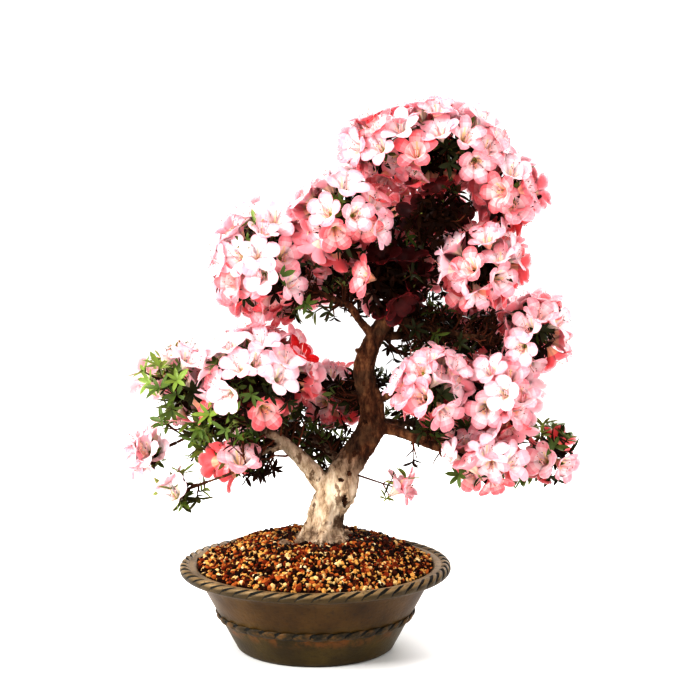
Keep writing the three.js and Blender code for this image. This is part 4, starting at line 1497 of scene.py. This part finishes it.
def rough_limbs(lines):
    """Trunk, boughs and burrs as plain tubes that run into each other."""
    shape = Shape()
    add_trunk(shape, lines["trunk"][0])
    for name in BOUGHS:
        path, radius_at = lines[name]
        shares = np.linspace(0, 1, max(BARK.bough_rings, round(path.length / BARK.bough_step)))
        add_tubes(shape, path.at(shares)[None], radius_at(shares)[None], BARK.bough_sides)
    for points, root, tip in BURRS:
        path = Path(smooth_points(points))
        shares = np.linspace(0, 1, BARK.burr_rings)
        blunt = 2 if root > BARK.stout_burr else 6
        round_ends = np.sqrt(np.clip(1 - np.abs(2 * shares - 1) ** blunt, 0.12, 1))
        radii = round_ends * (root + (tip - root) * shares)
        add_tubes(shape, path.at(shares)[None], radii[None], BARK.burr_sides)
    return shape


def read_vectors(items, name):
    """A vector of every vertex or face of a mesh, as rows."""
    rows = np.empty(len(items) * 3, np.float32)
    items.foreach_get(name, rows)
    return rows.reshape(-1, 3)


def make_bark(lines, beads):
    """Trunk and boughs grown together into one skin, with knots, surface roots and the bark's relief."""
    body = rough_limbs(lines).piece("bark", [])
    remesh = body.modifiers.new("skin", "REMESH")
    remesh.mode = "VOXEL"
    remesh.voxel_size = BARK.voxel * MM
    smooth = body.modifiers.new("grown_together", "SMOOTH")
    smooth.factor = BARK.smoothing
    smooth.iterations = BARK.smoothings
    mesh = bpy.data.meshes.new_from_object(body.evaluated_get(bpy.context.evaluated_depsgraph_get()))
    body.modifiers.clear()
    body.data = mesh
    roughen(mesh, beads)
    mesh.materials.append(bark_material())
    mesh.materials.append(shaded_pit_material())
    # Faces deep in a pit take the near-black painted shade.
    deep = pit_share(read_vectors(mesh.polygons, "center") / MM, read_vectors(mesh.polygons, "normal"))
    mesh.polygons.foreach_set("material_index", (deep > PIT_EDGE).astype(np.int32))
    mesh.polygons.foreach_set("use_smooth", np.full(len(mesh.polygons), True))
    dressed(body, "bark", *lines)


def relief_at(place, height, fineness, shortness):
    x, y, z = place
    return height * noise.noise(Vector((x, y, shortness * z)) * fineness)


def pit_share(places, normals):
    """How deep places on the bark lie in a pit, from 0 at its edge to 1."""
    share = np.zeros(len(places))
    for x, z, half_width, half_height, side in PITS:
        across_it = np.hypot((places[:, 0] - x) / half_width, (places[:, 2] - z) / half_height)
        share = np.maximum(share, np.where(normals[:, 1] * side > 0.1, 1 - across_it**2, 0))
    frayed = [relief_at(place, *RELIEF.pit_fray) if deep > 0 else 0 for place, deep in zip(places, share)]
    return np.clip(share - np.abs(frayed), 0, 1)


def roughen(mesh, beads):
    """Moves a limb's skin in and out along its normals: long ridges, burrs and fine cracks."""
    tree = kdtree.KDTree(len(beads))
    for i, bead in enumerate(beads):
        tree.insert(Vector(bead[:3]), i)
    tree.balance()
    places, normals = read_vectors(mesh.vertices, "co"), read_vectors(mesh.vertices, "normal")
    offsets = np.empty(len(places))
    for i, place in enumerate(places / MM):
        _, k, _ = tree.find(Vector(place))
        stout = min(beads[k][3] / BARK.stout, 1)
        coarse = relief_at(place, *RELIEF.ridge) + relief_at(place, *RELIEF.burr)
        fine = -abs(relief_at(place, *RELIEF.crack)) + relief_at(place, *RELIEF.scale)
        offsets[i] = stout * coarse + (BARK.thin_share + (1 - BARK.thin_share) * stout) * fine
    offsets -= PIT_DEPTH * pit_share(places / MM, normals)
    places += normals * (offsets * MM)[:, None].astype(np.float32)
    mesh.vertices.foreach_set("co", places.ravel())
    mesh.update()


# Crown

# Blossoms with a set tint: the one nearest to each place. The red one and the rose one on the trunk's shoot
# are their own colours; the other coral and rose ones deepen blossoms in shade, as painted shade.
SET_TINTS = [
    ((-11, -86, 407), "red"),
    ((112, -50, 232), "rose"),
    ((15, -118, 580), "rose"),
    ((56, -118, 576), "rose"),
    ((123, -95, 665), "coral"),
    ((65, -60, 690), "coral"),
    ((40, -125, 556), "coral"),
    ((226, -80, 612), "coral"),
    ((155, -110, 515), "coral"),
    ((85, -27, 615), "coral"),
    ((128, -66, 635), "rose"),
    ((31, -54, 514), "coral"),
]
CROWN_SEED = 11
BLOSSOMS_EACH = 190

# The way to the light. What stands ahead of a star that way, and this near beside it, covers the star.
LIGHT_WAY = unit(np.array([-1.7, -1.6, 1.5]))
COVER = Values(ahead=15, beside=24)

# Painted light and shade: how far the place of a blossom deepens its tint, inside the crown, in the hollows,
# where others cover it from the light and where it faces the light, how far it pales on top and at the sides,
# and the limit below which each tint is dealt out
DEEPENED = Values(
    inward=1.3, outside=0.8, upward=-0.3, hollow=0.4, cover=0.09, most_cover=5, lit=0.26, sideward=-0.22,
)
BLOSSOM_LIMITS = {"pale": 0.18, "pink": 0.56, "rose": 0.94, "coral": math.inf}

# Painted light and shade on the leaves: how far the place of a whorl lightens them, outside, on top and in
# full light, how far it darkens them under cover and in the hollows, and the limit above which each tint is
# dealt out
LIGHTENED = Values(upward=0.25, chance=0.25, cover=-0.06, most_cover=7, hollow=-0.5, sunlit=0.35)
LEAF_LIMITS = {"spring": 1.02, "green": 0.72, "deep": 0.45, "dark": -math.inf}


def count_cover(stars, others):
    """Gives each star the count of others that stand between it and the light."""
    apart = rows_of(others, "seat")[None] - rows_of(stars, "seat")[:, None]
    towards = apart @ LIGHT_WAY
    beside = np.linalg.norm(apart - towards[..., None] * LIGHT_WAY, axis=2)
    cover = np.sum((towards > COVER.ahead) & (beside < COVER.beside), axis=1)
    for star, count in zip(stars, cover):
        star.cover = count


def blossom_tint(star, name, random):
    """The colour group of a blossom, as painted light and shade: deeper inside the crown and in shade, paler
    outside.
    """
    lit = max(0, np.dot(star.facing, LIGHT_WAY))
    x, _, z = star.direction
    depth = DEEPENED.inward * (DEEPENED.outside - star.depth) + DEEPENED.upward * z + DEEPENED.lit * lit**2
    depth += DEEPENED.cover * min(star.cover, DEEPENED.most_cover) + DEEPENED.sideward * x**2
    depth += (DEEPENED.hollow if name in HOLLOW else 0) - PALE.get(name, 0) + random.uniform()
    # Blossoms deep in the hollows take the dark red painted shade.
    if name in HOLLOW and star.depth < DEEPENED.outside:
        return "painted_shade_wine"
    return next(tint for tint, limit in BLOSSOM_LIMITS.items() if depth < limit)


def leaf_tint(star, name, random):
    """The colour group of a whorl, as painted light and shade: bright outside and in full light, dark inside
    and in shade.
    """
    light = star.depth + LIGHTENED.upward * star.direction[2]
    light += random.uniform(-LIGHTENED.chance, LIGHTENED.chance)
    light += LIGHTENED.cover * min(star.cover, LIGHTENED.most_cover)
    light += LIGHTENED.hollow if name in HOLLOW else 0
    light += LIGHTENED.sunlit if name in SUNLIT else 0
    return next(tint for tint, limit in LEAF_LIMITS.items() if light > limit)


def leaf_out(mass, foliage, random):
    """Tints the blossoms of a mass, gives them and its whorls their leaves, and picks the whorls that bud."""
    name = mass.space.name
    for star in mass.blossoms:
        star.facing = unit(star.facing + TURNED.get(name, np.zeros(3)))
        star.tint = blossom_tint(star, name, random)
        foot = star.base - COLLAR.drop * star.facing
        leaves = whorl_leaves(foot, star.facing, COLLAR.leaves, COLLAR.length, COLLAR.rise, random)
        foliage[leaf_tint(star, name, random)] += leaves
    outer = [star for star in mass.whorls if star.depth > BUD.outside]
    budded = [star for star in outer if random.uniform() < BUD.share]
    length = TUFT.lit_length if name in SUNLIT else TUFT.length
    for star in mass.whorls:
        count = random.integers(*TUFT.leaves)
        leaves = whorl_leaves(star.base, star.facing, count, length, TUFT.rise, random)
        foliage[leaf_tint(star, name, random)] += leaves
    return budded


def leaf_shoots(whorls, foliage, random):
    """Gives the whorls along the shoots their leaves."""
    for name, base, facing in whorls:
        bright = name in SUNLIT
        count = random.integers(*SPRAY.leaves)
        length = SPRAY.lit_length if bright else SPRAY.length
        leaves = whorl_leaves(base, facing, count, length, SPRAY.rise, random)
        # Painted light and shade: shoots in full light take the brighter tints.
        foliage[random.choice(SPRAY.lit_tints if bright else SPRAY.tints)] += leaves


def make_blossoms(blossoms, random):
    """Petals, tint by tint, in pieces of a limited size."""
    for place, tint in SET_TINTS:
        nearest = min(blossoms, key=lambda star: np.linalg.norm(star.seat - place))
        nearest.tint = tint
    for tint in PETAL_COLOURS:
        stars = [star for star in blossoms if star.tint == tint]
        skins = petal_materials(tint)
        for k in range(0, len(stars), BLOSSOMS_EACH):
            shape = Shape()
            add_blossoms(shape, stars[k:k + BLOSSOMS_EACH], random)
            dressed(shape.piece(f"blossom_{tint}_{k // BLOSSOMS_EACH + 1}", skins), "blossom")


def make_leaves(foliage, random):
    """Leaves, one piece for each tint, with a duller under side."""
    for tint, leaves in foliage.items():
        shape = Shape()
        add_leaves(shape, leaves, random)
        upper, under, gloss = LEAF_COLOURS[tint]
        skins = [
            plain_material(f"leaf_{tint}", upper, 0.42, Specular_IOR_Level=gloss),
            plain_material(f"leaf_{tint}_under", under, 0.7, Specular_IOR_Level=0.5 * gloss),
        ]
        dressed(shape.piece("leaves_" + tint, skins), "blossom")


def make_crown(lines, beads):
    """Every mass of foliage, grown from the limbs, as twigs, petals, buds, stamens and leaves apart."""
    random = np.random.default_rng(CROWN_SEED)
    crown = grow_crown(lines, beads)
    every_star = [star for mass in crown for star in mass.blossoms + mass.whorls]
    for mass in crown:
        count_cover(mass.blossoms + mass.whorls, every_star)
    twigs, buds, stamens = Shape(), Shape(), Shape()
    foliage = {tint: [] for tint in LEAF_COLOURS}
    budded = []
    for mass in crown:
        add_twigs(twigs, mass.twigs, random)
        budded += leaf_out(mass, foliage, random)
    shoots, whorls = grow_shoots(lines, random)
    add_twigs(twigs, shoots, random, rings=4)
    leaf_shoots(whorls, foliage, random)
    blossoms = [star for mass in crown for star in mass.blossoms]
    add_stalks(twigs, blossoms)
    wood = plain_skins("twig_", TWIG_COLOURS, 0.8, Specular_IOR_Level=0.1)
    dressed(twigs.piece("twigs", wood), "bark", *MASSES)
    make_blossoms(blossoms, random)
    add_buds(buds, budded, random)
    dressed(buds.piece("buds", plain_skins("bud_", BUD_COLOURS, 0.5)), "blossom")
    # No stamens on the blossoms painted dark as shade.
    add_stamens(stamens, [star for star in blossoms if star.tint != "painted_shade_wine"], random)
    dressed(stamens.piece("stamens", plain_skins("", STAMEN_COLOURS, 0.5)), "blossom")
    make_leaves(foliage, random)


# Pot

GLAZE, HOLLOW_SHADE, OLIVE_GLAZE = range(3)
POT_SEED = 5


def lathe(profile, segments):
    """Points round the Z axis, a row for each radius and height of a profile, and the quads between them."""
    angles = np.arange(segments) * TURN / segments
    radius, height = (np.array(column, float)[:, None] for column in zip(*profile))
    x, y, z = np.broadcast_arrays(radius * np.cos(angles), radius * np.sin(angles), height)
    return np.stack([x, y, z], axis=-1), grid_quads(len(profile), segments, wrap=True)


def wall_radius(height):
    return POT.base_radius + POT.wall_slope * height


def inner_radius(height):
    return wall_radius(height) - POT.wall_thickness


def pot_profile():
    """The pot's outline in close points: out under its foot, up the wall, over the rim and down inside."""
    fillet_out, fillet_up = POT.flange_fillet
    bevel_out, bevel_up = POT.lip_bevel
    rope_middle = POT.rim_radius - ROPE.radius
    # Each corner's radius and height, and the steps to the next
    corners = [
        (HUB_RADIUS, 0, 3),
        (POT.base_radius - POT.foot_chamfer, 0, 2),
        (wall_radius(POT.foot_chamfer), POT.foot_chamfer, 34),
        (wall_radius(POT.flange_start), POT.flange_start, 3),
        (wall_radius(POT.flange_height) + fillet_out, POT.flange_height + fillet_up, 4),
        (rope_middle, POT.flange_end, 3),
        (rope_middle, POT.lip_height + bevel_up, 4),
        (POT.lip_radius + bevel_out, POT.lip_height + bevel_up, 2),
        (POT.lip_radius, POT.lip_height, 4),
        (inner_radius(POT.flange_height), POT.flange_height, 4),
        (inner_radius(POT.floor_thickness), POT.floor_thickness, 2),
        (HUB_RADIUS, POT.floor_thickness, 1),
    ]
    profile = []
    for (*start, steps), (*end, _) in zip(corners, corners[1:]):
        profile.extend(np.linspace(start, end, steps, endpoint=False))
    return [*profile, corners[-1][:2]]


def twisted_ring(marks, columns, lean):
    """The angles round and across a ring of leaning marks, and how far each spoke is from a mark."""
    spokes = marks * MARK_STEPS
    turn = np.arange(spokes)[:, None] * TURN / spokes
    around = np.arange(columns)[None] * TURN / columns
    swell = np.abs(np.sin(0.5 * marks * turn))
    return turn + lean * TURN / marks * np.sin(around - 0.25 * math.pi), around, swell


def uneven_marks(limits, marks, random):
    """A factor for every spoke of a ring, one value for each of its marks."""
    return np.repeat(random.uniform(*limits, marks), MARK_STEPS)[:, None]


def add_ring(shape, turn, radius, height, slots):
    """Adds a closed ring from the angle, radius and height of each (spoke, point), and each face's slot."""
    points = np.stack([radius * np.cos(turn), radius * np.sin(turn), height], axis=-1)
    spokes, columns = turn.shape
    quads = grid_quads(spokes + 1, columns, wrap=True) % turn.size
    shape.add(points, quads[:, ::-1], slots.ravel())


def add_rope(shape, random):
    """Adds the rope on the rim: round strands with near-black painted shade between them."""
    turn, around, swell = twisted_ring(ROPE.turns, ROPE.sides, ROPE.lean)
    upper = np.clip(1.25 * np.cos(around - 1.0), 0, 1)
    radius = ROPE.radius * (1 - ROPE.groove * upper * (1 - swell**0.7))
    gap = ROPE.gap * upper**1.4 * uneven_marks(ROPE.uneven, ROPE.turns, random)
    slots = np.where(swell < gap, HOLLOW_SHADE, GLAZE)
    out = POT.rim_radius - ROPE.radius + radius * np.cos(around)
    add_ring(shape, turn, out, POT.rim_height + radius * np.sin(around), slots)


def add_band(shape, random):
    """Adds the band round the wall, with each pinch's dimple painted dark as shade."""
    turn, around, swell = twisted_ring(BAND.pinches, BAND.sides, BAND.lean)
    upper = np.clip(1.3 * np.cos(around - 0.9), 0, 1)
    pinch = swell**0.7
    up = BAND.half_height * np.sin(around) * (0.7 + 0.3 * pinch)
    out = BAND.proud * np.cos(around) * (0.3 + 0.7 * pinch) + POT.wall_slope * up
    gap = BAND.gap * upper * uneven_marks(BAND.uneven, BAND.pinches, random)
    slots = np.where(swell < gap, HOLLOW_SHADE, OLIVE_GLAZE)
    add_ring(shape, turn, wall_radius(BAND.height) + out, BAND.height + up, slots)


def make_pot():
    """The glazed pot: a thrown wall, a pinched band round it and a twisted rope on its rim."""
    random = np.random.default_rng(POT_SEED)
    shape = Shape()
    shape.add(*lathe(pot_profile(), POT.segments))
    add_rope(shape, random)
    add_band(shape, random)
    skins = [glaze_material(), hollow_shade_material(), glaze_olive_material()]
    dressed(shape.piece("glazed_pot", skins), "glaze", "pot")


# Soil

SOIL_SEED = 23
GOLDEN = (1 + math.sqrt(5)) / 2
ICOSAHEDRON = unit(np.array([
    (-1, GOLDEN, 0), (1, GOLDEN, 0), (-1, -GOLDEN, 0), (1, -GOLDEN, 0), (0, -1, GOLDEN), (0, 1, GOLDEN),
    (0, -1, -GOLDEN), (0, 1, -GOLDEN), (GOLDEN, 0, -1), (GOLDEN, 0, 1), (-GOLDEN, 0, -1), (-GOLDEN, 0, 1),
]))
ICOSAHEDRON_FACES = np.array([
    (0, 11, 5), (0, 5, 1), (0, 1, 7), (0, 7, 10), (0, 10, 11), (1, 5, 9), (5, 11, 4), (11, 10, 2),
    (10, 7, 6), (7, 1, 8), (3, 9, 4), (3, 4, 2), (3, 2, 6), (3, 6, 8), (3, 8, 9), (4, 9, 5),
    (2, 4, 11), (6, 2, 10), (8, 6, 7), (9, 8, 1),
])


def clod_offsets():
    """The part's seeded clods: how far each corner of the mound's rings stands out."""
    random = seeded_random(SOIL.clod_seed)
    rings = np.zeros((SOIL.mound_steps + 1, SOIL.segments))
    for ring in rings[1:-1]:
        ring[:] = [SOIL.clod_height * (next(random) - 0.5) for _ in ring]
    return rings


def soil_height(x, y):
    """The height of the soil: the part's mound with its clods, rounded between their corners."""
    clods = clod_offsets()
    fall = SOIL.edge_radius - SOIL.plateau_radius
    share = np.clip((SOIL.edge_radius - np.hypot(x, y)) / fall, 0, 1)
    mound = SOIL.edge_height + (SOIL.mound_height - SOIL.edge_height) * np.sin(share * math.pi / 2)
    step = share * SOIL.mound_steps
    outer = np.minimum(step.astype(int), SOIL.mound_steps - 1)
    turn = np.arctan2(y, x) / TURN * SOIL.segments

    def clod(ring):
        place = turn - 0.5 * (ring % 2)
        k = np.floor(place).astype(int)
        after = smooth_step(0, 1, place - k)
        return (1 - after) * clods[ring, k % SOIL.segments] + after * clods[ring, (k + 1) % SOIL.segments]

    inner_share = smooth_step(0, 1, step - outer)
    return mound + (1 - inner_share) * clod(outer) + inner_share * clod(outer + 1)


def make_soil_bed(random):
    """The dark soil that shows between the grains."""
    floor = POT.floor_thickness + 1
    inner = inner_radius(POT.flange_height) - 1
    radii = np.linspace(SOIL.edge_radius - 1, HUB_RADIUS, SOIL.bed_rings)
    profile = [(HUB_RADIUS, floor), (inner - SOIL.bed_inset, floor), (inner, POT.flange_height)]
    profile += [(radius, SOIL.edge_height) for radius in radii]
    points, quads = lathe(profile, SOIL.bed_segments)
    top = points[-len(radii):]
    rough = random.normal(0, SOIL.bed_roughness, top.shape[:2])
    top[..., 2] = soil_height(top[..., 0], top[..., 1]) - SOIL.bed_depth + rough
    bed = Shape()
    bed.add(points, quads)
    dressed(bed.piece("soil_bed", [mould_material()]), "soil", "soil")


def grain_places(random):
    """Where the grains lie: spread evenly over the soil, then strewn a little."""
    count = GRAINS.count
    radius = (SOIL.edge_radius - 2) * np.sqrt((np.arange(count) + 0.5) / count)
    turn = np.arange(count) * GOLDEN_ANGLE
    x, y = radius * np.cos(turn), radius * np.sin(turn)
    places = np.column_stack([x, y, soil_height(x, y) - GRAINS.depth])
    return places + random.normal(0, 1, (count, 3)) * GRAINS.stray


def grain_points(places, random):
    """The corners of every grain: an icosahedron, made lumpy, stretched and turned."""
    count = len(places)
    size = random.uniform(*GRAINS.radius, (count, 1, 1))
    spin = np.linalg.qr(random.normal(0, 1, (count, 3, 3)))[0]
    spin *= np.sign(np.linalg.det(spin))[:, None, None]
    stretch = random.uniform(*GRAINS.stretch, (count, 1, 3))
    lumps = ICOSAHEDRON * random.uniform(*GRAINS.lumps, (count, len(ICOSAHEDRON), 1)) * stretch
    return places[:, None] + size * np.einsum("gij,gkj->gki", spin, lumps)


def grain_tints(places, random):
    """The colour slot of every grain, darker in an oval patch round the trunk's foot."""
    count = len(places)
    elsewhere = random.choice(len(GRAIN_SHARES), count, p=GRAIN_SHARES)
    in_patch = random.choice(len(GRAIN_SHARES), count, p=DARK_PATCH_GRAIN_SHARES)
    x, y = ((places[:, :2] - SOIL.damp_centre) / SOIL.damp_reach).T
    return np.where(np.hypot(x, y) + random.normal(0, SOIL.damp_fray, count) < 1, in_patch, elsewhere)


def add_rootlets(shape, random):
    """Adds fine dry roots that lie over the soil near the trunk."""
    count, rings = ROOTLETS.count, ROOTLETS.rings
    turn = random.uniform(0, TURN, (count, 1))
    start = random.uniform(*ROOTLETS.start, (count, 1))
    reach = random.uniform(*ROOTLETS.reach, (count, 1))
    bearing = random.uniform(0, TURN, (count, 1))
    t = np.linspace(0, 1, rings)
    sway = random.normal(0, ROOTLETS.sway, (count, rings)).cumsum(axis=1)
    x = start * np.cos(turn) + reach * t * np.cos(bearing) + sway * np.sin(bearing)
    y = start * np.sin(turn) + reach * t * np.sin(bearing) - sway * np.cos(bearing)
    arch = random.uniform(*ROOTLETS.arch, (count, 1)) * np.sin(math.pi * t)
    z = soil_height(x, y) + ROOTLETS.lift + arch
    add_tubes(shape, np.stack([x, y, z], axis=-1), np.full((count, rings), ROOTLETS.radius), 4)


def make_soil():
    """Dark soil under a loose layer of angular grains, with dry rootlets on it."""
    random = np.random.default_rng(SOIL_SEED)
    make_soil_bed(random)
    places = grain_places(random)
    points = grain_points(places, random)
    tints = grain_tints(places, random)
    roots, grains = Shape(), Shape()
    add_rootlets(roots, random)
    dressed(roots.piece("rootlets", [plain_material("rootlet", ROOTLET_COLOUR, 0.9)]), "soil")
    faces = repeated(ICOSAHEDRON_FACES, len(points), len(ICOSAHEDRON))
    grains.add(points, faces, np.repeat(tints, len(ICOSAHEDRON_FACES)))
    skins = plain_skins("grain_", GRAIN_COLOURS, 0.8, Specular_IOR_Level=0.1)
    dressed(grains.piece("soil_grains", skins, smooth=False), "soil")


# Stage


def add_sky():
    world = bpy.data.worlds.new("studio")
    world.use_nodes = True
    background = world.node_tree.nodes["Background"]
    background.inputs["Color"].default_value = (1, 1, 1, 1)
    background.inputs["Strength"].default_value = STUDIO.sky_strength
    bpy.context.scene.world = world


def add_lights():
    for name, (place, target, size, power, beam) in LIGHTS.items():
        light = bpy.data.lights.new(name, "AREA")
        light.shape = "DISK"
        light.size = size
        light.energy = power
        light.spread = math.radians(beam)
        lamp = bpy.data.objects.new(name, light)
        lamp.location = place
        lamp.rotation_euler = (Vector(target) - Vector(place)).to_track_quat("-Z", "Y").to_euler()
        bpy.context.scene.collection.objects.link(lamp)


def add_floor():
    reach = STUDIO.floor_reach
    floor = Shape()
    corners = [(-reach, -reach, 0), (reach, -reach, 0), (reach, reach, 0), (-reach, reach, 0)]
    floor.add(corners, [(0, 1, 2, 3)])
    ground = floor.piece("floor", [floor_material()])


def add_camera():
    camera = bpy.data.cameras.new("front")
    camera.lens = CAMERA.lens
    camera.sensor_width = CAMERA.sensor_width
    viewer = bpy.data.objects.new("front", camera)
    viewer.location = [value * MM for value in CAMERA.place]
    viewer.rotation_euler = (math.radians(90 - CAMERA.pitch_deg), 0, 0)
    bpy.context.scene.collection.objects.link(viewer)
    bpy.context.scene.camera = viewer


def make_stage():
    settings = bpy.context.scene.view_settings
    settings.view_transform = "Standard"
    settings.exposure = STUDIO.exposure
    settings.gamma = STUDIO.gamma
    add_sky()
    add_lights()
    add_floor()
    add_camera()


make_stage()
limbs = limb_lines()
limb_points = limb_beads(limbs)
make_bark(limbs, limb_points)
make_crown(limbs, limb_points)
make_pot()
make_soil()
